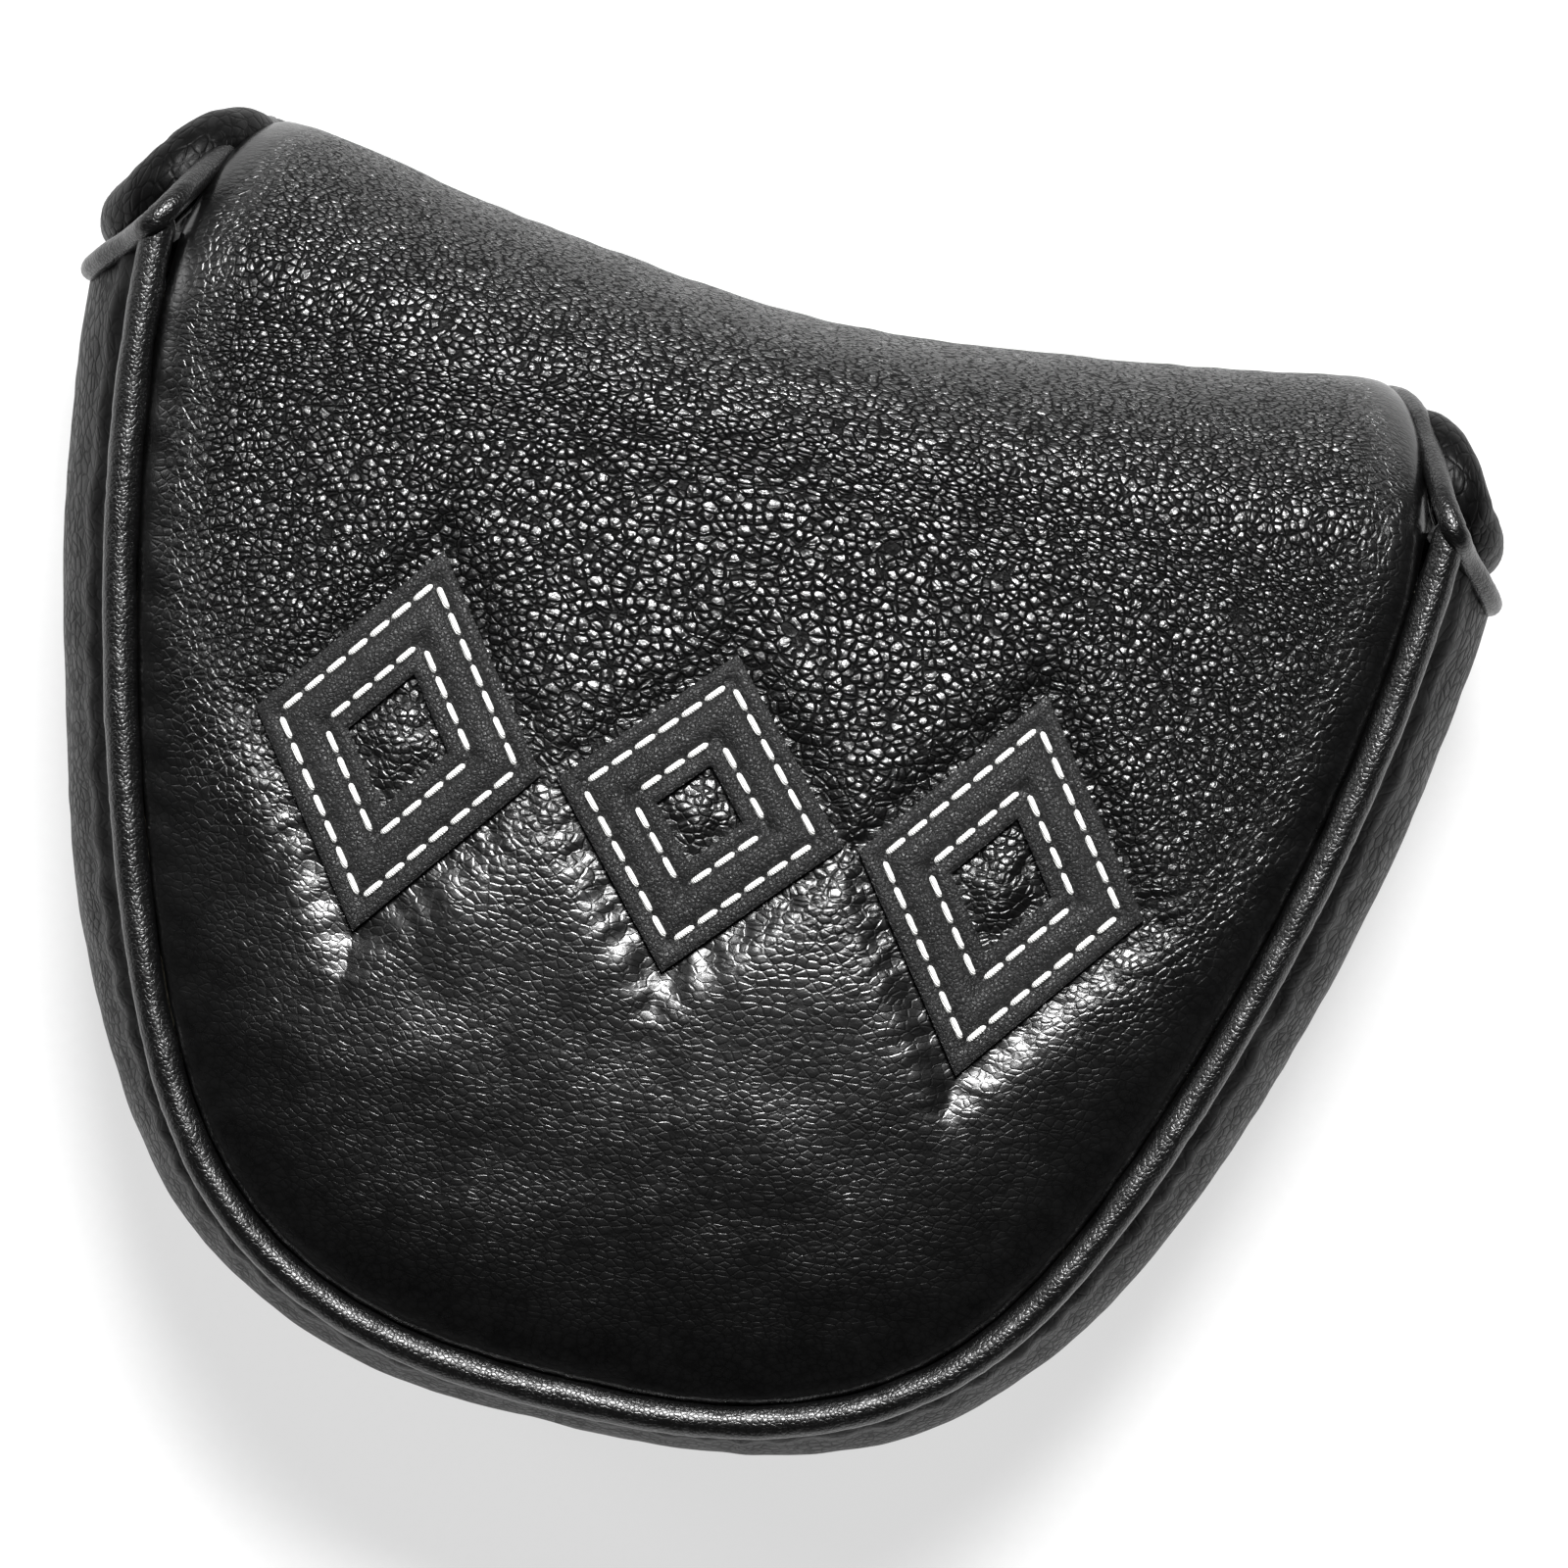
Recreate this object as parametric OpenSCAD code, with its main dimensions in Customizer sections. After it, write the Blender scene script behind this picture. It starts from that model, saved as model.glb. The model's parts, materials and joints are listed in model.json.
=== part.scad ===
// Padded leather cover for a mallet putter head, lying on its sole.
// +Z is up, X runs from toe (-) to heel (+), and +Y points to the closure end.
// The origin is the centre of the bounding box's underside. Millimetres.

/* [Overall size] */
// Width from toe to heel at the widest part of the side walls
width = 135; // [115:1:165]
// Length from the rounded back end to the two closure corners
length = 113; // [100:1:137]
// Height from the sole to the top of the crown
height = 52; // [46:1:63]
// How far the middle of the closure end is set back from its corners
saddle_depth = 6.5; // [3:0.5:9]

/* [Layers] */
// Thickness of the outer leather
leather_t = 1.4; // [1:0.1:1.8]
// Thickness of the crown and sole padding
pad_t = 5; // [3:0.5:6]
// Thickness of the side wall padding
wall_pad_t = 4.5; // [3:0.5:5.5]
// Thickness of the closure flap padding
flap_pad_t = 3; // [2.6:0.1:3.5]
// Thickness of the plush lining
lining_t = 0.8; // [0.5:0.1:1]

/* [Seams and pipings] */
// Radius of the crown and sole pipings
piping_r = 1.6; // [1.2:0.1:1.9]
// Radius of the cord inside a piping
piping_cord_r = 0.9; // [0.6:0.1:1]
// Radius of the narrow edge binding on the flap and the corner openings
binding_r = 1.2; // [0.9:0.1:1.4]
// Radius of the gathered collars at the two corners
collar_r = 3; // [2.4:0.1:3.4]
// Radius of the elastic cord inside a collar
elastic_r = 1.4; // [1:0.1:1.6]

/* [Crown patches] */
// Width of each lozenge patch
patch_w = 27; // [22:1:29]
// Length of the two outer patches
outer_patch_l = 36; // [30:1:42]
// Length of the centre patch
centre_patch_l = 30; // [26:1:36]
// Width of the leather band around each patch's window
patch_band = 7; // [5.5:0.5:7.5]
// Thickness of the patch leather
patch_t = 1; // [0.7:0.1:1.3]
// Distance from one stitch to the next
stitch_pitch = 2.6; // [2.2:0.1:3.2]

/* [Closure] */
// Distance that the flap's tail reaches under the sole, from the hinge end
tail_reach = 36; // [28:1:42]
// Half width of the flap's tail
tail_half = 33; // [26:1:38]
// Diameter of a closure magnet
magnet_d = 14; // [10:1:16]
// Thickness of a closure magnet
magnet_t = 1.8; // [1.4:0.1:2.2]
// Distance between the centres of two closure magnets
magnet_spacing = 32; // [24:1:36]

/* [Hidden] */
$fn = 48;

leather_colour = "#17171a";
patch_colour = "#38383c";
foam_colour = "#c9c3b4";
lining_colour = "#5b5d63";
thread_colour = "#f2f2f0";
metal_colour = "#a9adb2";

gap = 0.05;                                  // between two layers
play = 0.3;                                  // between the flap and the shell
edge_gap = 0.15;                             // between a seam and its piping
back_y = -length / 2;
corner_y = length / 2;
saddle_y = corner_y - saddle_depth;
hinge_y = saddle_y - 6;                      // the line that the flap turns on
roll_y = hinge_y - 8;                        // where the crown starts to roll over
crown_seam_z = height - 8;
sole_seam_z = 9;
mid_z = (crown_seam_z + sole_seam_z) / 2;
seam_half = (crown_seam_z - sole_seam_z) / 2;
crown_rise = height - crown_seam_z;
roll_power = 2.3;                            // squareness of the rolled closure end
side_seam_inset = 6.2;                       // side wall bulge past the piping
back_seam_inset = 3.7;                       // the same at the rounded back end
opening_depth = 5.4;                         // hollow of the side wall's closure end
corner_x = 0.37 * width;                     // where the closure end stands out most
last_h = 0.93;                               // where the panels' rows stop at the back

pad_in = leather_t + gap;
lining_in = pad_in + pad_t + gap;
stack_t = lining_in + lining_t;
flap_lining_in = pad_in + flap_pad_t + gap;
flap_stack_t = flap_lining_in + lining_t;
wall_lining_in = pad_in + wall_pad_t + gap;
sole_step_z = flap_stack_t + play + 0.2;     // the sole is raised above the flap's tail

// ---- Plan outline ----

// Half of the way round: h is 0 at the closure end and 1 at the back.
function slope(h) = 1 - pow(1 - h, 2.5);
function way_at(y) = 1 - pow(1 - (hinge_y - y) / (hinge_y - back_y), 0.4);
function half_width(s) = width / 2 * (1 - 0.435 * pow(s, 1.8)) * pow(max(0, 1 - pow(s, 11.2)), 0.4);
function rim(h) = [half_width(slope(h)), hinge_y - (hinge_y - back_y) * slope(h)];
function rim_normal(h) =
    let (d = rim(min(1, h + 0.002)) - rim(max(0, h - 0.002)))
    [-d.y, d.x] / norm(d);
function rim_inset(h, d) = rim(h) - d * rim_normal(h);
function seam_inset(h) =
    side_seam_inset + (back_seam_inset - side_seam_inset) * pow(slope(h), 6);

// ---- Heights of the crown, the sole and the closure end ----

// Across is -1 to 1 over the width, and h is the way to the back end.
function swell(across, h) =
    (1 - pow(abs(across), 2.6)) * (1 - pow(slope(h) / slope(last_h), 5));
function end_y(x) =
    saddle_y + saddle_depth * pow(min(1.2, abs(x) / corner_x), 1.5);
function roll_factor(x, y) =
    y <= roll_y ? 1
    : pow(1 - pow((y - roll_y) / (end_y(x) - roll_y), roll_power), 1 / roll_power);
function crown_z(across, h, inset) =
    let (p = rim_inset(h, seam_inset(h)))
    let (top = crown_seam_z + crown_rise * swell(across, h))
    mid_z + (top - mid_z) * roll_factor(across * p.x, p.y) - inset;
function ramp(f) = let (c = min(1, max(0, f))) c * c * (3 - 2 * c);
tail_tip_y = roll_y - tail_reach;
// The outer sheet dips this far below the rest plane, which then cuts it flat.
rest_cut = 0.3;
function sole_z(across, h, y, inset) =
    let (lowest = inset == 0 ? -rest_cut : 0)
    let (flat = max(lowest, sole_seam_z - 1.25 * sole_seam_z * swell(across, h)))
    max(flat, sole_step_z * ramp((y - tail_tip_y + 7) / 5)) + inset;

// ---- Solids made from grids of points ----

function flat_list(grid) = [for (row = grid) each row];

// The solid between two grids, where the first lies on the side that rows x columns points to.
module skin(a, b) {
    n = len(a) - 1;
    m = len(a[0]) - 1;
    w = m + 1;
    o = (n + 1) * w;
    faces = [
        for (i = [0:n - 1], j = [0:m - 1]) each [
            [i * w + j, i * w + j + 1, (i + 1) * w + j + 1],
            [i * w + j, (i + 1) * w + j + 1, (i + 1) * w + j],
            [o + i * w + j, o + (i + 1) * w + j + 1, o + i * w + j + 1],
            [o + i * w + j, o + (i + 1) * w + j, o + (i + 1) * w + j + 1]
        ],
        for (i = [0:n - 1]) each [
            [o + i * w, i * w, (i + 1) * w],
            [o + i * w, (i + 1) * w, o + (i + 1) * w],
            [o + (i + 1) * w + m, (i + 1) * w + m, i * w + m],
            [o + (i + 1) * w + m, i * w + m, o + i * w + m]
        ],
        for (j = [0:m - 1]) each [
            [o + j + 1, j + 1, j],
            [o + j + 1, j, o + j],
            [o + n * w + j, n * w + j, n * w + j + 1],
            [o + n * w + j, n * w + j + 1, o + n * w + j + 1]
        ]
    ];
    polyhedron(points = concat(flat_list(a), flat_list(b)), faces = faces);
}

function unit(v) = v / norm(v);
function way(path, i) = unit(path[min(len(path) - 1, i + 1)] - path[max(0, i - 1)]);
function ring(path, i, up, r, k) =
    let (t = way(path, i), n = unit(up - (up * t) * t), b = cross(t, n))
    [for (a = [0:k - 1]) path[i] + r * (cos(360 * a / k) * n + sin(360 * a / k) * b)];

// A round cord along a path.
module cord(path, r, up, k = 8) {
    n = len(path) - 1;
    points = [for (i = [0:n]) each ring(path, i, up, r, k)];
    faces = [
        for (i = [0:n - 1], a = [0:k - 1]) let (c = (a + 1) % k) each [
            [i * k + a, (i + 1) * k + a, (i + 1) * k + c],
            [i * k + a, (i + 1) * k + c, i * k + c]
        ],
        [for (a = [0:k - 1]) a],
        [for (a = [k - 1:-1:0]) n * k + a]
    ];
    polyhedron(points = points, faces = faces);
}

// A hollow sleeve along a path, open at both ends.
module sleeve(path, r, bore_r, up, k = 8) {
    n = len(path) - 1;
    w = 2 * k;
    points = [for (i = [0:n]) each concat(ring(path, i, up, r, k), ring(path, i, up, bore_r, k))];
    faces = [
        for (i = [0:n - 1], a = [0:k - 1]) let (c = (a + 1) % k) each [
            [i * w + a, (i + 1) * w + a, (i + 1) * w + c],
            [i * w + a, (i + 1) * w + c, i * w + c],
            [i * w + k + a, (i + 1) * w + k + c, (i + 1) * w + k + a],
            [i * w + k + a, i * w + k + c, (i + 1) * w + k + c]
        ],
        for (a = [0:k - 1]) let (c = (a + 1) % k) each [
            [a, c, k + c],
            [a, k + c, k + a],
            [n * w + a, n * w + k + c, n * w + c],
            [n * w + a, n * w + k + a, n * w + k + c]
        ]
    ];
    polyhedron(points = points, faces = faces);
}

// ---- Crown ----

crown_rows = 12;
panel_columns = 10;
// Columns crowd towards the sides, where the panel curves most.
function across_at(j) = sin(90 * (2 * j / panel_columns - 1));
function crown_way(i) = last_h * pow(i / crown_rows, 1.3);
function crown_sheet(side_in, inset) = [
    for (i = [0:crown_rows]) let (h = crown_way(i), p = rim_inset(h, seam_inset(h) + side_in))
        [for (j = [0:panel_columns]) let (u = across_at(j)) [u * p.x, p.y, crown_z(u, h, inset)]]
];
panel_in = piping_r + edge_gap;
foam_side_in = panel_in + 0.9;
lining_side_in = foam_side_in + 1.6;

module crown_panel() {
    color(leather_colour) skin(crown_sheet(panel_in, 0), crown_sheet(panel_in, leather_t));
}

module crown_foam() {
    color(foam_colour)
        skin(crown_sheet(foam_side_in, pad_in), crown_sheet(foam_side_in, pad_in + pad_t));
}

module crown_lining() {
    color(lining_colour)
        skin(crown_sheet(lining_side_in, lining_in), crown_sheet(lining_side_in, stack_t));
}

// ---- Side wall ----

gusset_rows = 28;
wall_lines = 6;                              // shared by the wall's layers, so that they nest
// The wall's closure end is hollowed, to leave the shaft opening at each corner.
function hollow(z) = opening_depth * (1 - pow((z - mid_z) / seam_half, 2));
function wall_bulge(h, z) = seam_inset(h) * pow((z - mid_z) / seam_half, 2);
function wall_point(h, side, z, inset) =
    let (p = rim_inset(h, wall_bulge(h, z) + inset))
    [side * p.x, p.y, z];
wall_low = sole_seam_z + piping_r + 0.2;
wall_high = crown_seam_z - piping_r - 0.2;
function wall_sheet(inset, from_line, to_line) = [
    for (i = [0:gusset_rows]) let (f = 2 * i / gusset_rows)
        [for (j = [from_line:to_line])
            let (z = wall_low + (wall_high - wall_low) * j / wall_lines)
            let (start = way_at(hinge_y - hollow(z) - 0.01))
            let (h = start + (1 - start) * (f < 1 ? f : 2 - f))
            wall_point(h, f < 1 ? 1 : -1, z, inset)]
];

module wall_layer(inset, t, from_line, to_line) {
    skin(wall_sheet(inset + t, from_line, to_line), wall_sheet(inset, from_line, to_line));
}

module gusset_panel() {
    color(leather_colour) wall_layer(0, leather_t, 0, wall_lines);
}

// The padding and the lining stop short of the crown's and the sole's.
module gusset_foam() {
    color(foam_colour) wall_layer(pad_in, wall_pad_t, 1, wall_lines - 1);
}

module gusset_lining() {
    color(lining_colour) wall_layer(wall_lining_in, lining_t, 1, wall_lines - 1);
}

// ---- Sole ----

stepped_side_gap = 0.4;                      // more room beside the sole's stepped rows
// Rows down the stepped part that the tail lies under, then round to the back end.
sole_ways = concat(
    [for (y = [roll_y, (roll_y + tail_tip_y) / 2, tail_tip_y - 2, tail_tip_y - 7]) way_at(y)],
    [for (i = [1:8]) let (from = way_at(tail_tip_y - 7)) from + (last_h - from) * i / 8]
);
function sole_sheet(side_in, inset) = [
    for (h = sole_ways)
        let (stepped = h <= sole_ways[3])
        let (p = rim_inset(h, seam_inset(h) + side_in + (stepped ? stepped_side_gap : 0)))
        [for (j = [0:panel_columns]) let (u = across_at(j))
            [u * p.x, stepped ? rim(h).y : p.y, sole_z(u, h, rim(h).y, inset)]]
];

module sole_panel() {
    color(leather_colour) difference() {
        skin(sole_sheet(panel_in, leather_t), sole_sheet(panel_in, 0));
        translate([-width, -length, -height]) cube([2 * width, 2 * length, height]);
    }
}

module magnet_pair(d, t, low_z) {
    for (side = [-1, 1])
        translate([side * magnet_spacing / 2, tail_tip_y + 12, low_z]) cylinder(d = d, h = t);
}

sole_magnet_z = sole_step_z + pad_in + 0.1;

module sole_foam() {
    color(foam_colour) difference() {
        skin(sole_sheet(foam_side_in, pad_in + pad_t), sole_sheet(foam_side_in, pad_in));
        magnet_pair(magnet_d + 2 * gap, magnet_t + gap, sole_magnet_z);
    }
}

module sole_lining() {
    color(lining_colour) skin(sole_sheet(lining_side_in, stack_t), sole_sheet(lining_side_in, lining_in));
}

module sole_magnets() {
    color(metal_colour) magnet_pair(magnet_d, magnet_t, sole_magnet_z);
}

// The folded strip that closes the sole's layers at the mouth.
mouth_in = lining_side_in + wall_pad_t;
function mouth_strip(extra_z) =
    let (h = sole_ways[0], p = rim_inset(h, seam_inset(h) + mouth_in))
    [for (y = [roll_y + 1.2, roll_y + 0.3])
        [for (j = [0:panel_columns]) let (u = across_at(j))
            [u * p.x, y, sole_z(u * p.x / rim_inset(h, seam_inset(h)).x, h, roll_y, extra_z)]]];

module sole_edge_binding() {
    color(leather_colour) skin(mouth_strip(stack_t), mouth_strip(0));
}

// ---- Pipings ----

function seam_path(z) = [
    for (i = [0:32]) let (f = i / 16, h = f < 1 ? f : 2 - f, p = rim_inset(h, seam_inset(h)))
        [(f < 1 ? 1 : -1) * p.x, p.y, z]
];
up = [0, 0, 1];

module crown_piping() {
    color(leather_colour) sleeve(seam_path(crown_seam_z), piping_r, piping_cord_r + gap, up);
}

module crown_piping_cord() {
    color(thread_colour) cord(seam_path(crown_seam_z), piping_cord_r, up);
}

module sole_piping() {
    color(leather_colour) sleeve(seam_path(sole_seam_z), piping_r, piping_cord_r + gap, up);
}

module sole_piping_cord() {
    color(thread_colour) cord(seam_path(sole_seam_z), piping_cord_r, up);
}

// ---- Corner openings ----

function opening_edge(z) =
    let (h = way_at(hinge_y - hollow(z) - 0.01))
    wall_point(h, 1, z, 0);
// The piping lies on the wall's closure end, and the collar stands just past it.
function opening_path(shift, spread, low_z, high_z, n) = [
    for (i = [0:n]) opening_edge(low_z + (high_z - low_z) * i / n) + shift + spread * pow(2 * i / n - 1, 2)
];
out = [1, 0, 0];
opening_piping_shift = [-1.2, binding_r + 0.35, 0];
collar_shift = [-collar_r + 0.3, 2 * binding_r + collar_r + 0.6, 0];
collar_spread = [-1.2, 2.8, 0];              // the collar's ends lean towards the flap
collar_end = 8;                              // from a seam to the collar's end
collar_low = sole_seam_z + collar_end;
collar_high = crown_seam_z - collar_end;

module opening_piping() {
    path = opening_path(opening_piping_shift, [0, 0, 0], wall_low + 0.2, wall_high - 0.2, 14);
    cord(path, binding_r, out, 6);
}

module collar_sleeve() {
    path = opening_path(collar_shift, collar_spread, collar_low, collar_high, 12);
    sleeve(path, collar_r, elastic_r + gap, out);
}

module collar_elastic() {
    cord(opening_path(collar_shift, collar_spread, collar_low, collar_high, 12), elastic_r, out);
}

module heel_collar() {
    color(leather_colour) collar_sleeve();
}

module heel_collar_elastic() {
    color(thread_colour) collar_elastic();
}

module heel_collar_piping() {
    color(leather_colour) opening_piping();
}

module toe_collar() {
    color(leather_colour) mirror([1, 0, 0]) collar_sleeve();
}

module toe_collar_elastic() {
    color(thread_colour) mirror([1, 0, 0]) collar_elastic();
}

module toe_collar_piping() {
    color(leather_colour) mirror([1, 0, 0]) opening_piping();
}

// ---- Crown patches ----

function crown_at(x, y) =
    let (h = way_at(y), p = rim_inset(h, seam_inset(h)))
    crown_z(x / p.x, h, 0);
patch_y = back_y + 0.522 * length;           // the patches' middle
patch_gap = 0.1;
function lozenge(centre, half, lift) = [
    for (q = [0:3], f = [0:3])
        let (a = 90 * q, b = 90 * (q + 1), g = f / 4)
        let (x = centre.x + half.x * (cos(a) * (1 - g) + cos(b) * g))
        let (y = centre.y + half.y * (sin(a) * (1 - g) + sin(b) * g))
        [x, y, crown_at(x, y) + lift]
];
// A lozenge drawn in evenly by d all round.
function drawn_in(half, d) = half - d * norm(half) * [1 / half.y, 1 / half.x];

module patch(x, l) {
    centre = [x, patch_y];
    outer = [patch_w, l] / 2;
    inner = drawn_in(outer, patch_band);
    k = 16;
    loops = [
        lozenge(centre, outer, patch_gap), lozenge(centre, outer, patch_gap + patch_t),
        lozenge(centre, inner, patch_gap + patch_t), lozenge(centre, inner, patch_gap)
    ];
    faces = [
        for (r = [0:3], a = [0:k - 1])
            let (c = (a + 1) % k, s = (r + 1) % 4) each [
                [r * k + a, s * k + a, s * k + c],
                [r * k + a, s * k + c, r * k + c]
            ]
    ];
    polyhedron(points = flat_list(loops), faces = faces);
}

stitch_l = 0.8 * stitch_pitch;
stitch_w = 0.7;
stitch_t = 0.4;
stitch_in = 1.8;                             // from a patch's edge to the row of stitches

module stitch(from, to) {
    lift = patch_gap + patch_t + 0.2;
    a = [from.x, from.y, crown_at(from.x, from.y) + lift];
    b = [to.x, to.y, crown_at(to.x, to.y) + lift];
    d = b - a;
    translate((a + b) / 2)
        rotate([0, -atan2(d.z, norm([d.x, d.y])), atan2(d.y, d.x)])
            translate([-stitch_l / 2, -stitch_w / 2, 0]) cube([stitch_l, stitch_w, stitch_t]);
}

// One row of separate stitches along the four sides of a lozenge.
module stitch_row(centre, half) {
    side = norm(half);
    count = floor(side / stitch_pitch - 0.6);
    margin = (side - count * stitch_pitch) / 2;
    for (q = [0:3], s = [0:count - 1]) {
        a = centre + [half.x * cos(90 * q), half.y * sin(90 * q)];
        b = centre + [half.x * cos(90 * (q + 1)), half.y * sin(90 * (q + 1))];
        along = (b - a) / side;
        from = margin + s * stitch_pitch + (stitch_pitch - stitch_l) / 2;
        stitch(a + along * from, a + along * (from + stitch_l));
    }
}

module patch_stitching(x, l) {
    outer = [patch_w, l] / 2;
    stitch_row([x, patch_y], drawn_in(outer, stitch_in));
    stitch_row([x, patch_y], drawn_in(outer, patch_band - stitch_in));
}

patch_spacing = patch_w + 1.5;

module left_patch() {
    color(patch_colour) patch(-patch_spacing, outer_patch_l);
}

module left_patch_stitching() {
    color(thread_colour) patch_stitching(-patch_spacing, outer_patch_l);
}

module centre_patch() {
    color(patch_colour) patch(0, centre_patch_l);
}

module centre_patch_stitching() {
    color(thread_colour) patch_stitching(0, centre_patch_l);
}

module right_patch() {
    color(patch_colour) patch(patch_spacing, outer_patch_l);
}

module right_patch_stitching() {
    color(thread_colour) patch_stitching(patch_spacing, outer_patch_l);
}

// ---- Closure flap ----

flap_rows = 14;
roll_rows = 10;
flap_columns = 12;
side_half = rim_inset(0, seam_inset(0)).x;
root_half = side_half - 1.4;                 // half width of the flap at its hinge
heel_half = tail_half + 7;                   // half width where it turns under the sole
flap_start_y = hinge_y + 0.25;

// Turned is 0 at the hinge and 1 where the flap turns under the sole.
function roll_half(turned) =
    root_half - (root_half - heel_half) * (0.47 * turned + 0.53 * pow(turned, 2));
// Along the tail, f is 0 where it turns under the sole and 1 at its tip.
function tail_way(i) = (i - roll_rows) / (flap_rows - roll_rows);
function flap_half(i) =
    i <= roll_rows ? roll_half(i / roll_rows)
    : heel_half + (tail_half - heel_half) * sin(90 * tail_way(i));
function flap_point(x, i, inset) =
    let (a = end_y(x) - roll_y - inset)
    let (top = crown_seam_z + crown_rise * (1 - pow(min(1, abs(x) / side_half), 2.6)) - inset)
    let (start = asin(min(0.97, pow((flap_start_y - roll_y) / a, roll_power / 2))))
    let (turn = start + (180 - start) * min(1, i / roll_rows))
    let (reach = pow(sin(turn), 2 / roll_power), rise = pow(abs(cos(turn)), 2 / roll_power))
    i > roll_rows
        ? [x, roll_y - (tail_reach - 2 * binding_r) * tail_way(i), inset]
        : [x, roll_y + a * reach, turn < 90 ? mid_z + (top - mid_z) * rise
            : mid_z - (mid_z - inset) * rise];
function flap_sheet(side_in, inset) = [
    for (j = [0:flap_columns]) let (u = 2 * j / flap_columns - 1)
        [for (i = [0:flap_rows]) flap_point(u * (flap_half(i) - side_in), i, inset)]
];
flap_edge_in = 1.35 * binding_r;

module flap_panel() {
    color(leather_colour) skin(flap_sheet(flap_edge_in, 0), flap_sheet(flap_edge_in, leather_t));
}

flap_magnet_z = pad_in + (flap_pad_t - magnet_t) / 2;

module flap_foam() {
    color(foam_colour) difference() {
        skin(flap_sheet(flap_edge_in, pad_in), flap_sheet(flap_edge_in, pad_in + flap_pad_t));
        magnet_pair(magnet_d + 2 * gap, magnet_t + gap, flap_magnet_z - gap / 2);
    }
}

module flap_lining() {
    color(lining_colour)
        skin(flap_sheet(flap_edge_in, flap_lining_in), flap_sheet(flap_edge_in, flap_stack_t));
}

// The binding follows the flap's free edge, down one side, round the tail and up the other.
function free_edge(side, i) = flap_point(side * flap_half(i), i, binding_r);

module flap_binding() {
    first = 0.4;
    right = [for (i = [0:flap_rows]) free_edge(1, max(first, i))];
    left = [for (i = [flap_rows:-1:0]) free_edge(-1, max(first, i))];
    tip = [
        for (f = [0.96, 0.5, 0, -0.5, -0.96])
            flap_point(f * flap_half(flap_rows), flap_rows, binding_r) - [0, flap_edge_in, 0]
    ];
    color(leather_colour) cord(concat(right, tip, left), binding_r, unit([1, 0.3, 0.5]), 6);
}

module flap_magnets() {
    color(metal_colour) magnet_pair(magnet_d, magnet_t, flap_magnet_z);
}

crown_panel();
crown_foam();
crown_lining();
gusset_panel();
gusset_foam();
gusset_lining();
sole_panel();
sole_foam();
sole_lining();
sole_edge_binding();
crown_piping();
crown_piping_cord();
sole_piping();
sole_piping_cord();
heel_collar();
heel_collar_elastic();
heel_collar_piping();
toe_collar();
toe_collar_elastic();
toe_collar_piping();
left_patch();
left_patch_stitching();
centre_patch();
centre_patch_stitching();
right_patch();
right_patch_stitching();
sole_magnets();
flap_panel();
flap_foam();
flap_lining();
flap_binding();
flap_magnets();
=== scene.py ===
"""Looks of a padded leather cover for a mallet putter head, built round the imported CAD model."""

import json
import math

import bmesh
import bpy
import numpy as np
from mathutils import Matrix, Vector

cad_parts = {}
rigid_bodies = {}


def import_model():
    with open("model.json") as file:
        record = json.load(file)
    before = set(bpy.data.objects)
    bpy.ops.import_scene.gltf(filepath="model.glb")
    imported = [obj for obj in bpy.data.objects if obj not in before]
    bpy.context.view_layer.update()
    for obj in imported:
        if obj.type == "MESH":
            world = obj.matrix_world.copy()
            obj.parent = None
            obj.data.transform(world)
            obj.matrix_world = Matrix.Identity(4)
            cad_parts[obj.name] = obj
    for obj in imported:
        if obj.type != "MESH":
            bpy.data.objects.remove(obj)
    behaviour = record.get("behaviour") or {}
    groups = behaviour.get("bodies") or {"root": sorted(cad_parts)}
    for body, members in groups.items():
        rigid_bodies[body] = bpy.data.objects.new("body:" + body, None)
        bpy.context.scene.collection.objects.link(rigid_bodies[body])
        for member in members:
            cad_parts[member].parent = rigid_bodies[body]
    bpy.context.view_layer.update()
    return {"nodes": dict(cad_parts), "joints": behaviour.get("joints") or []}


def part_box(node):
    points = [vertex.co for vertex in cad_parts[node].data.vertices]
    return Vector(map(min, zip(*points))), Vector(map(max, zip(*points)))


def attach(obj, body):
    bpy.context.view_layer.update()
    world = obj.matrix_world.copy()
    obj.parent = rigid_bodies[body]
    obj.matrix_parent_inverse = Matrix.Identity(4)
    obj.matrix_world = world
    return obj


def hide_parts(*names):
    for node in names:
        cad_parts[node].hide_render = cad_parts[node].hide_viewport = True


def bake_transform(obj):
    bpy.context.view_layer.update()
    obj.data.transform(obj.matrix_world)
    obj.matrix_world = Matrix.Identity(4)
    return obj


for old in list(bpy.data.objects):
    bpy.data.objects.remove(old)
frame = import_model()
MM = 0.001


def corners(node):
    """A CAD node's lowest and highest corners, in millimetres."""
    low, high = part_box(node)
    return np.array(low) / MM, np.array(high) / MM


# ---- Sizes, all from the CAD model ----

wall_low, wall_high = corners("gusset_panel")
HALF = wall_high[0] + 0.1
BACK_Y = wall_low[1]
hinge = np.array(frame["joints"][0]["pos_m"]) / MM
HINGE_Y = hinge[1]
TOP_Z = corners("crown_panel")[1][2]
SEAM_Z = sum(c[2] for c in corners("crown_piping")) / 2
SOLE_Z = sum(c[2] for c in corners("sole_piping")) / 2
PIPING_R = np.ptp([c[2] for c in corners("crown_piping")]) / 2
BINDING_R = 1.2
STEP_Z = corners("sole_edge_binding")[0][2]
ROLL_Y = corners("sole_panel")[1][1]
TAIL_Y = corners("flap_binding")[0][1] + BINDING_R
MID_Z = (SEAM_Z + SOLE_Z) / 2
SEAM_HALF = (SEAM_Z - SOLE_Z) / 2
RISE = TOP_Z - SEAM_Z
SADDLE_Y = HINGE_Y + 6
SADDLE = 6.5
ROOT_HALF, TURN_HALF, TAIL_HALF = corners("flap_binding")[1][0] - 0.65, 40.0, 33.0
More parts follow.
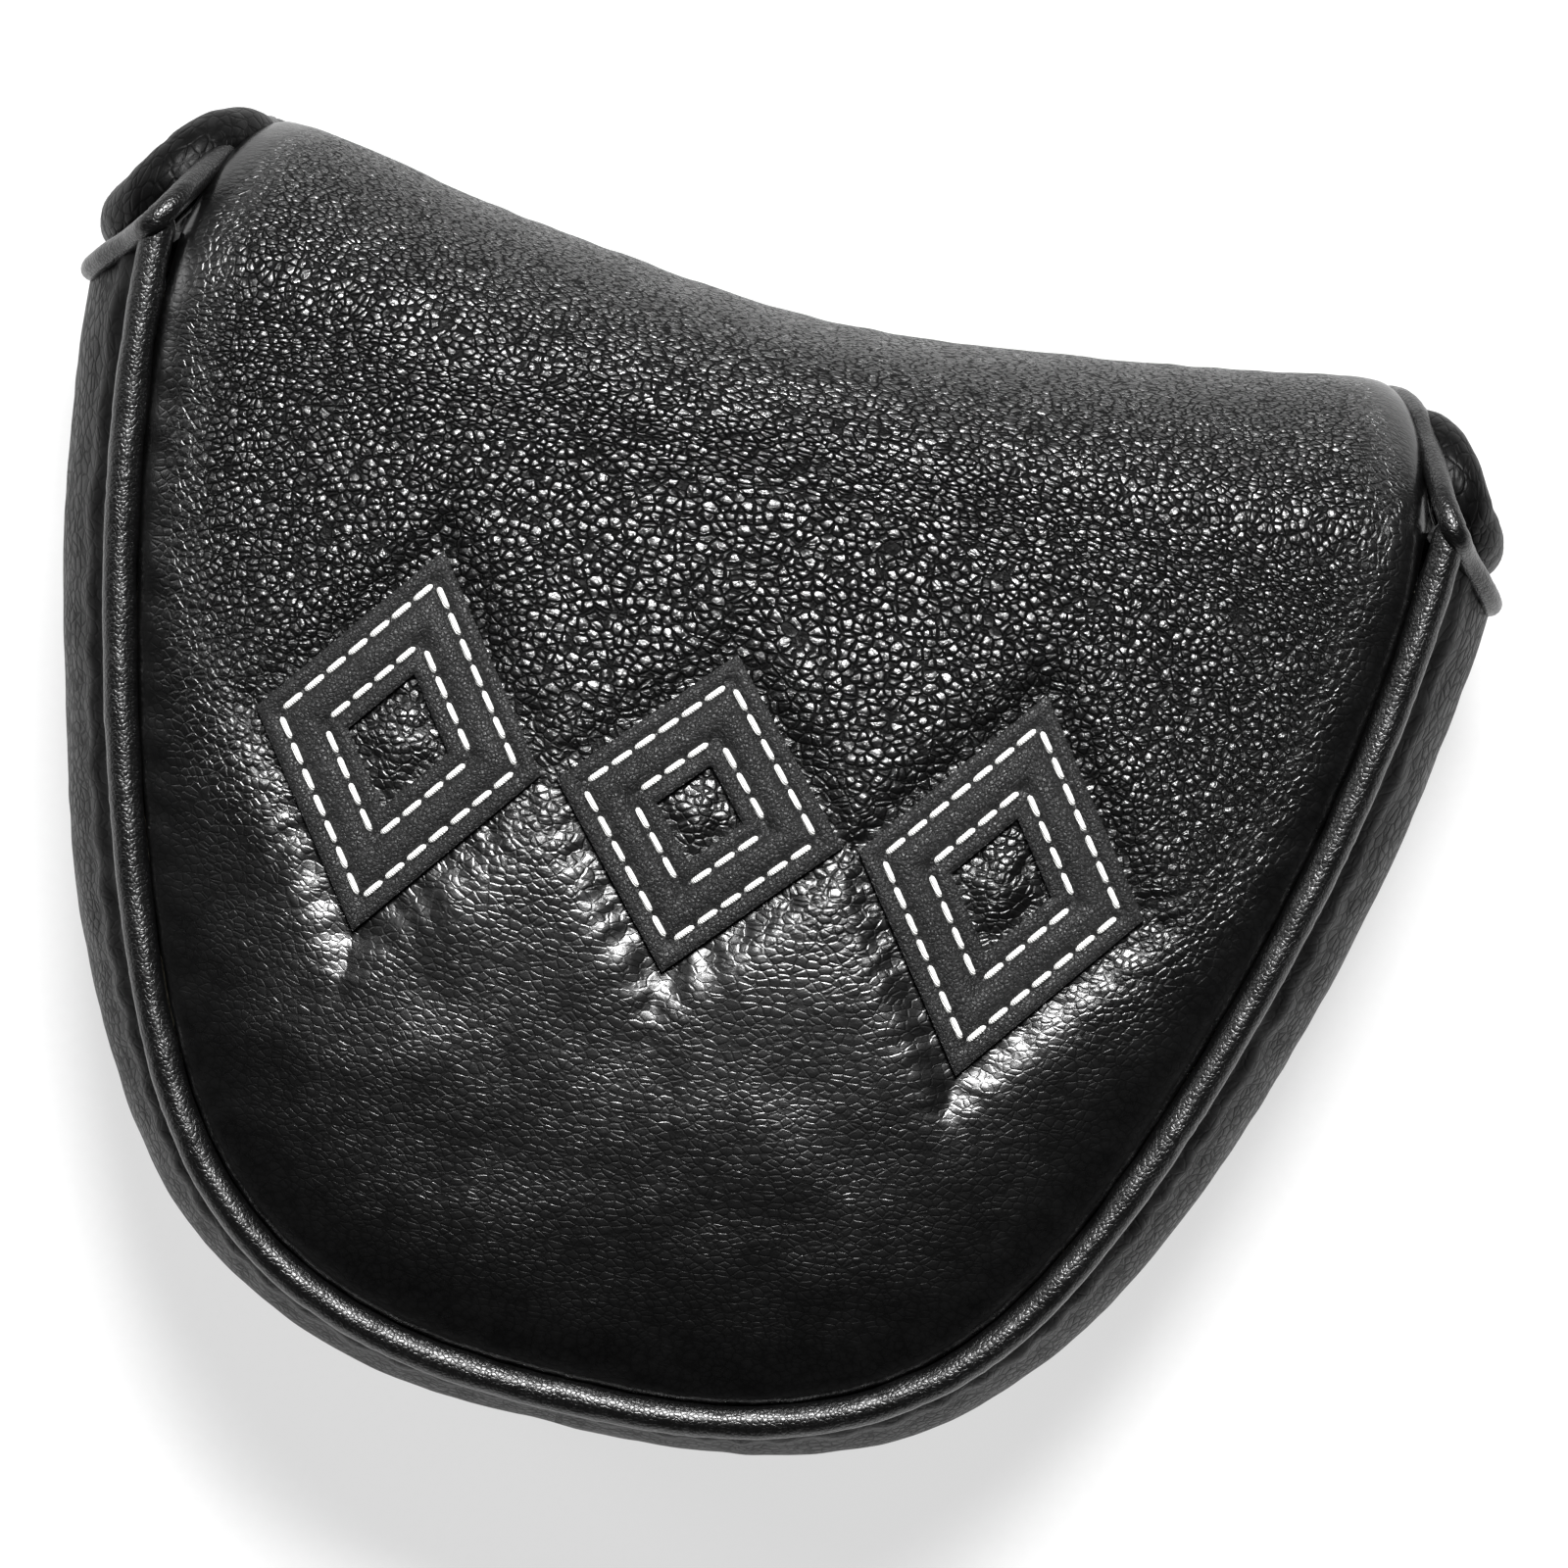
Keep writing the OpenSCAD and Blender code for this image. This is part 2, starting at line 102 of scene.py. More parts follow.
EDGE_IN = 0.95
POWER = 2.3
SWELL = 0.62
LEATHER = 1.4
FALL = 1.9
SIDE_REACH = 0.8
TUCK, TUCK_WIDTH = 0.75, 1.15
WALL_CURVE = 2.1
# How far the padding's back and the plush's two faces lie under the leather's face: in the shell,
# in the flap and at the flap's edge.
PAD_BACK, PLUSH_FACE, PLUSH_BACK = (6.4, 4.35, 2.2), (6.5, 4.5, 1.7), (7.3, 5.3, 2.5)


# ---- Noise with a fixed seed ----

CELLS = 32
lattice = np.random.default_rng(11).uniform(-1, 1, (CELLS, CELLS, CELLS))


def noise(p, size, seed=0):
    """Smooth noise between -1 and 1 at points p, with lumps of about that size."""
    q = np.asarray(p, float) / size + 5.37 * seed
    i = np.floor(q).astype(int)
    f = q - i
    f = f * f * (3 - 2 * f)
    total = 0
    for dx in (0, 1):
        for dy in (0, 1):
            for dz in (0, 1):
                w = (
                    np.where(dx, f[..., 0], 1 - f[..., 0])
                    * np.where(dy, f[..., 1], 1 - f[..., 1])
                    * np.where(dz, f[..., 2], 1 - f[..., 2])
                )
                corner = (i + [dx, dy, dz]) % CELLS
                total = total + w * lattice[corner[..., 0], corner[..., 1], corner[..., 2]]
    return total


def smooth(x):
    x = np.clip(x, 0, 1)
    return x * x * (3 - 2 * x)


def hump(d, w):
    return np.exp(-((d / w) ** 2))


# ---- Plan outline and the closure end's roll ----

def slope(h):
    """How far back h lies, as a share of the outline's depth."""
    return 1 - (1 - h) ** 2.5


def way_at(y):
    """The h that lies at y."""
    return 1 - (1 - (HINGE_Y - y) / (HINGE_Y - BACK_Y)) ** 0.4


def rim(h):
    """The right half of the plan outline."""
    s = slope(h)
    wide = HALF * (1 - 0.435 * s**1.8) * np.maximum(0, 1 - s**11.2) ** 0.4
    return np.stack([wide, HINGE_Y - (HINGE_Y - BACK_Y) * s], -1)


def rim_in(h, d):
    """The outline at h, 0 at the closure end and 1 at the back, drawn in by d."""
    h = np.asarray(h, float)
    t = rim(np.minimum(1, h + 0.002)) - rim(np.maximum(0, h - 0.002))
    n = np.stack([-t[..., 1], t[..., 0]], -1) / np.linalg.norm(t, axis=-1, keepdims=True)
    return rim(h) - np.asarray(d)[..., None] * n


def seam_in(h):
    """How far the seams lie inside the outline, where the side wall bulges past them."""
    return 6.2 - 2.5 * slope(h) ** 6


def run_of(points):
    """The way along the points, from 0 at the first."""
    return np.concatenate([[0], np.cumsum(np.linalg.norm(np.diff(points, axis=0), axis=1))])


def even(points, values, n):
    """n values spaced evenly along the way that the points take."""
    run = run_of(points)
    return np.interp(np.linspace(0, run[-1], n), run, values)


def end_y(x):
    """The closure end's saddle: lowest in the middle, and turned in past its corners."""
    past_corner = np.maximum(0, np.abs(x) - 49)
    return SADDLE_Y + SADDLE * np.minimum(1.2, np.abs(x) / (0.37 * 2 * HALF)) ** 1.5 - 0.04 * past_corner**2


TURN_START = math.asin(((HINGE_Y - ROLL_Y + 0.25) / (end_y(ROOT_HALF) - ROLL_Y)) ** (POWER / 2))


def roll_half(t):
    """The roll's half width as it turns under."""
    turned = np.maximum(0, (t - TURN_START) / (math.pi - TURN_START))
    return ROOT_HALF - (ROOT_HALF - TURN_HALF) * (0.47 * turned + 0.53 * turned**2)


COLUMNS, ROWS, ROLL_ROWS, LOW_ROWS, TAIL_ROWS = (
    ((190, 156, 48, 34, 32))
)
flat_u = np.linspace(-1, 1, COLUMNS)
U = 0.8 * flat_u + 0.2 * np.sin(math.pi / 2 * flat_u)
H_ROLL = float(way_at(ROLL_Y))
many = np.linspace(H_ROLL, 0.992, 600)
H = even(rim_in(many, seam_in(many) + EDGE_IN), many, ROWS)[::-1]
turns = np.linspace(0, math.pi / 2, 400)
profile = np.stack([19 * np.sin(turns) ** (2 / POWER), 25 * np.cos(turns) ** (2 / POWER)], -1)
T_UP = even(profile, turns, ROLL_ROWS + 1)[1:]
T_DOWN = np.concatenate([[math.pi / 2], even(profile[::-1], math.pi - turns[::-1], LOW_ROWS + 1)[1:]])


def pillow(u, h):
    """1 in the middle, and 0 along the seam."""
    return np.maximum(0, (1 - np.abs(u) ** 2.6) * (1 - slope(h) ** 5))


def turn(t):
    """How far out and how far up the roll's rounded profile is at angle t."""
    return np.sin(t) ** (2 / POWER), np.abs(np.cos(t)) ** (2 / POWER)


def dome(u, h):
    """The crown's height over its seam: a pillow that also falls a little to the closure end."""
    swell = pillow(u, h) ** SWELL
    y = HINGE_Y - (HINGE_Y - BACK_Y) * slope(h)
    return (RISE - FALL * smooth((y + 4) / 46) ** 0.8) * swell


def upper(inset, edge_in):
    """The crown and the upper half of the roll. Rows go from the back end to mid height, and inset
    is how far under the leather's face the sheet lies."""
    u = U[None, :]
    inset = np.broadcast_to(inset, (ROWS + ROLL_ROWS, COLUMNS))
    p = rim_in(H, seam_in(H) + edge_in)
    h = H[:, None]
    crown = np.stack(np.broadcast_arrays(u * p[:, :1], p[:, 1:], SEAM_Z + dome(u, h) - inset[:ROWS]), -1)
    t = T_UP[:, None]
    side = np.interp(T_UP, [0, TURN_START], [p[-1, 0], ROOT_HALF - edge_in + SIDE_REACH])[:, None]
    side = np.where(t > TURN_START, roll_half(t) - edge_in + SIDE_REACH, side)
    top = SEAM_Z + dome(u, np.float64(H_ROLL)) - inset[ROWS:]
    x = u * side
    reach, rise = turn(t)
    y = ROLL_Y + (end_y(x) - ROLL_Y - inset[ROWS:]) * reach
    return np.concatenate([crown, np.stack([x, y, MID_Z + (top - MID_Z) * rise], -1)])


def lower(inset, edge_in):
    """The lower half of the roll and the tail under the sole."""
    u = U[None, :]
    inset = np.broadcast_to(inset, (LOW_ROWS + 1 + TAIL_ROWS, COLUMNS))
    t = T_DOWN[:, None]
    x = u * (roll_half(t) - edge_in + SIDE_REACH)
    reach, rise = turn(t)
    i = inset[: LOW_ROWS + 1]
    roll = np.stack([x, ROLL_Y + (end_y(x) - ROLL_Y - i) * reach, MID_Z - (MID_Z - i) * rise], -1)
    f = (np.arange(1, TAIL_ROWS + 1) / TAIL_ROWS)[:, None]
    side = TURN_HALF + (TAIL_HALF - TURN_HALF) * np.sin(math.pi / 2 * f) - edge_in + SIDE_REACH
    tip = TAIL_Y + edge_in - SIDE_REACH
    round_tip = 1.6 * np.abs(u) ** 6 * f**3
    y = ROLL_Y - (ROLL_Y - tip) * f + round_tip
    return np.concatenate([roll, np.stack(np.broadcast_arrays(u * side, y, inset[LOW_ROWS + 1:]), -1)])


# ---- Patches, whose stitches pull the crown down ----

def lozenge_of(node):
    low, high = corners(node)
    return (low[:2] + high[:2]) / 2, (high[:2] - low[:2]) / 2


PATCHES = {n: lozenge_of(n) for n in ("left_patch", "centre_patch", "right_patch")}
BAND, STITCH_IN, PITCH, PATCH_T = 7.0, 1.8, 2.6, 1.0


def outside(xy, centre, half):
    """Distance outside a lozenge, negative inside, and the way along its outline."""
    d = np.abs(xy - centre)
    flat = np.array([half[1], half[0]]) / np.linalg.norm(half)
    side = d @ flat - half[0] * half[1] / np.linalg.norm(half)
    along = np.abs(d @ (np.array([-half[0], half[1]]) / np.linalg.norm(half)))
    return side, along


def pulled(xy):
    """How far the patches' stitches draw the crown's face down, and the puckers round them."""
    p3 = np.concatenate([xy, 0 * xy[..., :1]], -1)
    drop = 0
    pucker = 0
    for k, (centre, half) in enumerate(PATCHES.values()):
        d, along = outside(xy, centre, half)
        window = -BAND - d
        sunk = np.where(d > 0, hump(d, 2.3), np.where(window > 0, hump(window, 2.0), 1))
        drop = np.maximum(drop, sunk)
        off = np.maximum(d, window)
        phase = 2 * math.pi * (along / 2.7 + 0.75 * noise(p3, 4.0, 3 + k)) + k
        near = smooth(off / 0.6) * hump(np.maximum(0, off - 0.6), 3.2)
        pucker = pucker + np.sin(phase) * near * (0.75 + 0.5 * noise(p3, 4.0, 9))
    return drop, pucker


def crease(xy, points, depth, width):
    """A shallow crease that follows a few points."""
    points = np.array(points, float)
    x = np.interp(xy[..., 1], points[:, 1], points[:, 0])
    ends = smooth((xy[..., 1] - points[0, 1]) / 5) * smooth((points[-1, 1] - xy[..., 1]) / 5)
    return -depth * ends * hump(xy[..., 0] - x, width)


def crown_face(plain):
    """How far the padding, the creases and the stitches move the crown's plain face along z."""
    xy = plain[..., :2]
    drop, pucker = pulled(xy)
    z = -0.9 * drop + 0.17 * pucker
    y = xy[..., 1]
    upper_middle = smooth((y - 8) / 18)
    z = z + 0.40 * noise(plain, 21, 1) * (1 - drop) + 0.13 * noise(plain, 7, 2)
    z = z + 0.075 * noise(plain * [1, 0.55, 1], 2.6, 5) * (0.35 + 0.65 * upper_middle)
    for k, x in enumerate((-17, -9.5, -4.2, 1.5, 7.0, 12.5, 19)):
        bend = 1.6 * math.sin(2.1 * k)
        way = [(x + bend, 17 - 2 * (k % 3)), (x - 0.5, 26), (x + bend * 0.6, 36), (x, 47)]
        z = z + crease(xy, way, 0.17, 0.55)
    for k, x in enumerate((-12, 3, 9)):
        z = z + crease(xy, [(x, -36), (x + 1.1, -28 + k), (x - 0.4, -20)], 0.12, 0.5)
    return z


def edge_distance(grid):
    """Distance of each grid point from the sheet's two long sides."""
    sides = np.concatenate([grid[:, 0], grid[:, -1]])[:, :3]
    out = np.empty(grid.shape[:2])
    for i, row in enumerate(grid):
        out[i] = np.sqrt(((row[:, None] - sides[None]) ** 2).sum(-1).min(1))
    return out


def normals(grid):
    """The way out of a sheet at each of its points."""
    du = np.gradient(grid, axis=1)
    dv = np.gradient(grid, axis=0)
    n = np.cross(du, dv)
    return n / np.maximum(1e-9, np.linalg.norm(n, axis=-1, keepdims=True))


# ---- Mesh code ----

def make(name, points, faces, grain=None, relief=None, sharp=38):
    """An object from points in millimetres, with what the leather's grain is laid out by."""
    mesh = bpy.data.meshes.new(name)
    mesh.from_pydata((np.asarray(points) * MM).tolist(), [], faces)
    bm = bmesh.new()
    bm.from_mesh(mesh)
    bmesh.ops.recalc_face_normals(bm, faces=bm.faces)
    bm.to_mesh(mesh)
    bm.free()
    mesh.polygons.foreach_set("use_smooth", [True] * len(mesh.polygons))
    mesh.set_sharp_from_angle(angle=math.radians(sharp))
    grain = points if grain is None else grain
    at = mesh.attributes.new("grain", "FLOAT_VECTOR", "POINT")
    at.data.foreach_set("vector", np.asarray(grain, np.float32).ravel())
    at = mesh.attributes.new("relief", "FLOAT", "POINT")
    relief = np.broadcast_to(1 if relief is None else relief, len(points))
    at.data.foreach_set("value", relief.astype(np.float32))
    obj = bpy.data.objects.new(name, mesh)
    bpy.context.scene.collection.objects.link(obj)
    return obj


def sheet_faces(n, m, start=0):
    i, j = np.meshgrid(np.arange(n - 1), np.arange(m - 1), indexing="ij")
    a = (start + i * m + j).ravel()
    return np.stack([a, a + 1, a + m + 1, a + m], -1).tolist()


def layer(name, face, back, grain=None, relief=None):
    """A closed sheet between two grids of points."""
    n, m = face.shape[:2]
    loop = list(range(m)) + [i * m + m - 1 for i in range(1, n)]
    loop += [(n - 1) * m + j for j in range(m - 2, -1, -1)] + [i * m for i in range(n - 2, 0, -1)]
    size = n * m
    faces = sheet_faces(n, m) + [f[::-1] for f in sheet_faces(n, m, size)]
    faces += [[a, b, size + b, size + a] for a, b in zip(loop, loop[1:] + loop[:1])]
    points = np.concatenate([face.reshape(-1, 3), back.reshape(-1, 3)])
    if grain is not None:
        grain = np.concatenate([grain.reshape(-1, 3)] * 2)
    if relief is not None:
        relief = np.concatenate([np.asarray(relief).ravel()] * 2)
    return make(name, points, faces, grain, relief)


def ring_faces(rings, k, start=0):
    """The faces of a tube of rings of k points, with one face over each end."""
    i, j = np.meshgrid(np.arange(rings - 1), np.arange(k), indexing="ij")
    c = (j + 1) % k
    faces = start + np.stack([i * k + j, i * k + c, (i + 1) * k + c, (i + 1) * k + j], -1)
    last = start + (rings - 1) * k
    return faces.reshape(-1, 4).tolist() + [list(range(start, start + k))[::-1], list(range(last, last + k))]


def frames(path, up):
    """Two directions square to the path at each of its points."""
    t = np.gradient(path, axis=0)
    t /= np.linalg.norm(t, axis=1, keepdims=True)
    n = np.asarray(up, float) - (t @ np.asarray(up, float))[:, None] * t
    n /= np.linalg.norm(n, axis=1, keepdims=True)
    return n, np.cross(t, n)


def resample(path, step):
    path = np.asarray(path, float)
    run = run_of(path)
    n = max(4, int(run[-1] / step) + 1)
    at = np.linspace(0, run[-1], n)
    return np.stack([np.interp(at, run, path[:, k]) for k in range(3)], -1), at


def rounded(points, n):
    """A smooth curve through a few points."""
    points = np.asarray(points, float)
    ext = np.concatenate([[2 * points[0] - points[1]], points, [2 * points[-1] - points[-2]]])
    out = []
    for i in range(len(points) - 1):
        a, b, c, d = ext[i: i + 4]
        for s in np.linspace(0, 1, n, endpoint=i == len(points) - 2):
            bend, twist = 2 * a - 5 * b + 4 * c - d, 3 * b - a - 3 * c + d
            out.append(0.5 * (2 * b + (c - a) * s + bend * s**2 + twist * s**3))
    return np.array(out)


def tube(name, path, radius, up, cap=True, relief=None):
    """A round strip along a path, with a radius for each point and angle. A cap rounds its ends."""
    path = np.asarray(path, float)
    n, k = radius.shape
    radius = radius.copy()
    side, other = frames(path, up)
    if cap:
        for e, s in ((0, 1), (n - 1, -1)):
            for q, w in enumerate((0.45, 0.8, 0.95)):
                radius[e + s * q] *= w
    a = np.linspace(0, 2 * math.pi, k, endpoint=False)
    rings = path[:, None] + radius[..., None] * (
        np.cos(a)[None, :, None] * side[:, None] + np.sin(a)[None, :, None] * other[:, None]
    )
    points = rings.reshape(-1, 3)
    run = run_of(path)[:, None]
    grain = np.stack(np.broadcast_arrays(run, np.cos(a)[None] * radius, np.sin(a)[None] * radius), -1)
    return make(name, points, ring_faces(n, k), grain.reshape(-1, 3), relief, sharp=50)


# ---- Materials ----

class Nodes:
    """A material's node tree, with short names for what is used most."""

    def __init__(self, name, **values):
        self.material = bpy.data.materials.new(name)
        self.material.use_nodes = True
        self.tree = self.material.node_tree
        self.shader = self.tree.nodes["Principled BSDF"]
        for key, value in values.items():
            self.shader.inputs[key.replace("_", " ")].default_value = value

    def add(self, kind, settings=None, **inputs):
        node = self.tree.nodes.new("ShaderNode" + kind)
        for key, value in (settings or {}).items():
            setattr(node, key, value)
        for key, value in inputs.items():
            by_number = key[0] == "i" and key[1:].isdigit()
            self.put(node.inputs[int(key[1:]) if by_number else key.replace("_", " ")], value)
        return node

    def put(self, socket, value):
        if isinstance(value, bpy.types.NodeSocket):
            self.tree.links.new(value, socket)
        else:
            socket.default_value = value

    def math(self, op, a, b=0.0, c=0.0):
        return self.add("Math", {"operation": op}, i0=a, i1=b, i2=c).outputs[0]

    def ramp(self, value, low, high, a=0.0, b=1.0, kind="SMOOTHSTEP"):
        ends = {"From_Min": low, "From_Max": high, "To_Min": a, "To_Max": b}
        return self.add("MapRange", {"interpolation_type": kind}, Value=value, **ends).outputs["Result"]

    def cell_walls(self, vector, scale, **more):
        """The distance to the nearest wall of a pattern of cells."""
        node = self.add("TexVoronoi", {"feature": "DISTANCE_TO_EDGE"}, Vector=vector, Scale=scale, **more)
        return node.outputs["Distance"]

    def attribute(self, name):
        return self.add("Attribute", {"attribute_name": name})

    def mix(self, f, a, b):
        node = self.add("Mix", {"data_type": "RGBA"})
        self.put(node.inputs["Factor"], f)
        self.put(node.inputs["A"], a)
        self.put(node.inputs["B"], b)
        return node.outputs["Result"]

    def warped(self, vector, scale, amount):
        n = self.add("TexNoise", None, Vector=vector, Scale=scale, Detail=2.0)
        shift = self.add("VectorMath", {"operation": "SUBTRACT"}, i0=n.outputs["Color"], i1=(0.5, 0.5, 0.5))
        long = self.add("VectorMath", {"operation": "SCALE"}, i0=shift.outputs[0], Scale=amount)
        return self.add("VectorMath", {"operation": "ADD"}, i0=vector, i1=long.outputs[0]).outputs[0]

    def finish(self, colour, rough, height, depth):
        bump = self.add("Bump", None, Height=height, Strength=1.0, Distance=depth)
        self.put(self.shader.inputs["Normal"], bump.outputs[0])
        self.put(self.shader.inputs["Base Color"], colour)
        self.put(self.shader.inputs["Roughness"], rough)
        return self.material


def grey(v, tint=(1.0, 1.0, 1.03)):
    return (v * tint[0], v * tint[1], v * tint[2], 1)


def leather(
    name, cell, depth, dark, light, rough,
    creases=0.1, fine=0.07, crack=0.17, gloss=0.5, tilted=1.1, matte=0.3,
):
    """Grain leather: warped cells with rounded tops, matte cracks between them, a network of larger
    creases and fine pores. The relief attribute scales all of it."""
    n = Nodes(name)
    where = n.attribute("grain").outputs["Vector"]
    relief = n.attribute("relief").outputs["Fac"]
    bent = n.warped(where, 0.8 / cell, 0.4 * cell)
    walls = n.ramp(n.cell_walls(bent, 1 / cell, Randomness=0.95), 0.0, crack)
    centre = n.add("TexVoronoi", {"feature": "F1"}, Vector=bent, Scale=1 / cell, Randomness=0.95)
    crown = n.ramp(centre.outputs["Distance"], 0.0, 0.75, 1.0, 0.0)
    tilt = n.add("TexNoise", None, Vector=where, Scale=0.75 / cell, Detail=1.0).outputs["Fac"]
    tops = n.math("ADD", n.math("MULTIPLY", walls, 0.5), n.math("MULTIPLY", crown, 0.5))
    bits = n.ramp(n.cell_walls(bent, 2.3 / cell), 0.0, 0.12)
    far = n.warped(where, 0.16, 3.6)
    lines = n.ramp(n.cell_walls(far, 1 / (5.5 * cell)), 0.0, 0.035)
    pores = n.add("TexNoise", None, Vector=where, Scale=5.0 / cell, Detail=3.0).outputs["Fac"]
    patchy = n.add("TexNoise", None, Vector=where, Scale=0.13, Detail=2.0).outputs["Fac"]
    uneven = n.math("ADD", n.math("MULTIPLY", bits, fine), n.math("MULTIPLY", tilt, tilted))
    body = n.math("MULTIPLY", n.math("ADD", tops, uneven), n.ramp(patchy, 0.3, 0.7, 0.8, 1.15))
    small = n.math("ADD", n.math("MULTIPLY", lines, creases), n.math("MULTIPLY", pores, 0.03))
    height = n.math("MULTIPLY", n.math("ADD", body, small), relief)
    # The base colour is lighter on the cell tops and darker in the cracks between them: painted shade in the
    # cracks, with random tone from the pores.
    painted_shade_and_tone = n.math("MULTIPLY", tops, n.ramp(pores, 0.3, 0.7, 0.7, 1.0))
    open_crack = n.math("MULTIPLY", n.math("SUBTRACT", 1.0, walls), n.math("MINIMUM", relief, 1.0))
    shine = n.ramp(open_crack, 0.0, 0.8, gloss, (1 - matte) * gloss, "LINEAR")
    n.put(n.shader.inputs["Specular IOR Level"], shine)
    crack_rough = n.ramp(open_crack, 0, 1, rough, rough + 0.28 * matte)
    rough_now = n.math("ADD", crack_rough, n.ramp(patchy, 0.3, 0.7, -0.015, 0.02))
    return n.finish(n.mix(painted_shade_and_tone, grey(dark), grey(light)), rough_now, height, depth)


def woven(name, size, depth, dark, light, rough, **more):
    """Fine fibres, for thread, plush, cord and foam."""
    n = Nodes(name, **more)
    where = n.attribute("grain").outputs["Vector"]
    bent = n.warped(where, 0.8 / size, 0.6 * size)
    cells = n.add("TexVoronoi", {"feature": "F1"}, Vector=bent, Scale=1 / size)
    tops = n.ramp(cells.outputs["Distance"], 0.0, 0.7, 1.0, 0.0)
    fuzz = n.add("TexNoise", None, Vector=where, Scale=2.5 / size, Detail=4.0).outputs["Fac"]
    height = n.math("ADD", tops, n.math("MULTIPLY", fuzz, 0.8))
    # The colour is lighter on the fibre tops and darker between them: painted shade in the hollows, with random
    # tone from the fuzz.
    painted_shade_and_tone = n.ramp(n.math("ADD", n.math("MULTIPLY", tops, 0.6), n.math("MULTIPLY", fuzz, 0.5)), 0.2, 0.9)
    rough_now = n.ramp(fuzz, 0.3, 0.7, rough - 0.07, rough + 0.07)
    return n.finish(n.mix(painted_shade_and_tone, dark, light), rough_now, height, depth)


def twisted(name, pitch, light, dark):
    """Twisted thread, with plies that run across it."""
    n = Nodes(name, Specular_IOR_Level=0.35, Sheen_Weight=0.15)
    where = n.attribute("grain").outputs["Vector"]
    wave = n.add(
        "TexWave", {"bands_direction": "DIAGONAL"},
        Vector=where, Scale=1.0 / pitch, Distortion=0.4, Detail=1.0,
    )
    fuzz = n.add("TexNoise", None, Vector=where, Scale=9.0, Detail=3.0).outputs["Fac"]
    height = n.math("ADD", wave.outputs["Fac"], n.math("MULTIPLY", fuzz, 0.5))
    # The colour is lighter on the plies' crests and darker in the grooves between them: painted shade in the
    # grooves.
    colour = n.mix(wave.outputs["Fac"], dark, light)
    return n.finish(colour, n.ramp(fuzz, 0.3, 0.7, 0.55, 0.75), height, 0.00008)


def nickel(name):
    n = Nodes(name, Metallic=1.0)
    where = n.add("TexCoord").outputs["Object"]
    long = n.add("Mapping", None, Vector=where, Scale=(4000.0, 400.0, 4000.0)).outputs[0]
    brushed = n.add("TexNoise", None, Vector=long, Scale=1.0, Detail=4.0).outputs["Fac"]
    colour = n.mix(brushed, grey(0.5), grey(0.66))
    return n.finish(colour, n.ramp(brushed, 0.3, 0.7, 0.22, 0.4), brushed, 0.00001)


CROWN = leather(
    "crown_grain_leather", 1.25, 0.00022, 0.0005, 0.0022, 0.28,
    creases=0.10, crack=0.16, gloss=0.85, tilted=0.5, matte=0.9,
)
WALL = leather("wall_grain_leather", 1.0, 0.00013, 0.0006, 0.0025, 0.42, creases=0.10, gloss=0.12, tilted=0.7)
TRIM = leather("trim_smooth_leather", 0.45, 0.00004, 0.001, 0.0035, 0.30, creases=0.08, gloss=0.6)
PATCH = leather("patch_matte_leather", 0.42, 0.00007, 0.004, 0.010, 0.44, creases=0.05, fine=0.4, gloss=0.5)
THREAD = twisted("white_thread", 0.55, (0.86, 0.86, 0.84, 1), (0.62, 0.62, 0.60, 1))
PLUSH = woven(
    "grey_plush", 0.55, 0.00035, (0.055, 0.057, 0.065, 1), (0.16, 0.165, 0.18, 1), 0.85,
    Sheen_Weight=0.5, Sheen_Roughness=0.5,
)
FOAM = woven("cream_foam", 0.7, 0.00015, (0.42, 0.39, 0.31, 1), (0.62, 0.58, 0.48, 1), 0.85)
CORD = woven("piping_cord", 0.4, 0.0001, (0.5, 0.49, 0.46, 1), (0.75, 0.74, 0.7, 1), 0.8)
RUBBER = woven("black_elastic", 0.35, 0.00012, (0.012, 0.012, 0.013, 1), (0.04, 0.04, 0.042, 1), 0.6)
NICKEL = nickel("magnet_nickel")


def finish_piece(obj, material, slot, body, *nodes):
    """The material, the record's slot, which is not used, the body it rides on and the CAD nodes it stands for.
    """
    obj.data.materials.append(material)
    if body == "both":
        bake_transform(obj)
    else:
        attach(obj, body)
    if nodes:
        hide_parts(*nodes)
    return obj


# ---- Crown, roll and flap: leather, padding and plush in one flow over the hinge ----

def stretched(grid):
    """Fine folds drawn out along the roll, over shallow dents."""
    return 0.10 * noise(grid * [1, 0.25, 0.25], 2.0, 7) + 0.22 * noise(grid, 11, 8)


plain = upper(0, EDGE_IN)
side_way = edge_distance(plain)
rows_y = plain[:ROWS, 0, 1]
on_roll = np.zeros(plain.shape[:2])
on_roll[ROWS:] = smooth(np.arange(1, ROLL_ROWS + 1) / 10)[:, None]
rolled = smooth((plain[..., 1] - ROLL_Y + 4) / 8)

face = plain.copy()
lift = crown_face(plain)
lift = lift * smooth(side_way / 4) * (1 - 0.55 * rolled)
face[..., 2] += lift * (1 - on_roll)
out_n = normals(plain)
along_seam = np.arctan2(plain[..., 0], plain[..., 1] + 5) * 48
gathers = 0.045 * np.sin(2 * math.pi * along_seam / 4.4 + 3 * noise(plain, 12, 6)) * hump(side_way - 2.2, 2.6)
tuck = -TUCK * hump(side_way, TUCK_WIDTH) + gathers * (1 - rolled)
stretch = stretched(plain)
face += out_n * (tuck + on_roll * stretch * smooth(side_way / 3))[..., None]
back = face + upper(LEATHER, EDGE_IN) - plain

run = run_of(plain[:, COLUMNS // 2])
grain = plain.copy()
grain[..., 1] = plain[..., 1] * (1 - on_roll) + on_roll * (run[:, None] - run[ROWS - 1] + ROLL_Y)
grain[..., 2] = 0
# The grain is drawn out sideways over the roll, and along the piping.
grain[..., 1] = 1.3 * grain[..., 1] + np.maximum(0, grain[..., 1] - ROLL_Y + 4) ** 1.2 * 0.45
# The cells are widest in the upper middle, and finer towards the seams.
from_middle = grain - [0, ROLL_Y - 10, 0]
grain = grain + from_middle * 0.005 * np.linalg.norm(from_middle * [1, 0.8, 0], axis=-1, keepdims=True)
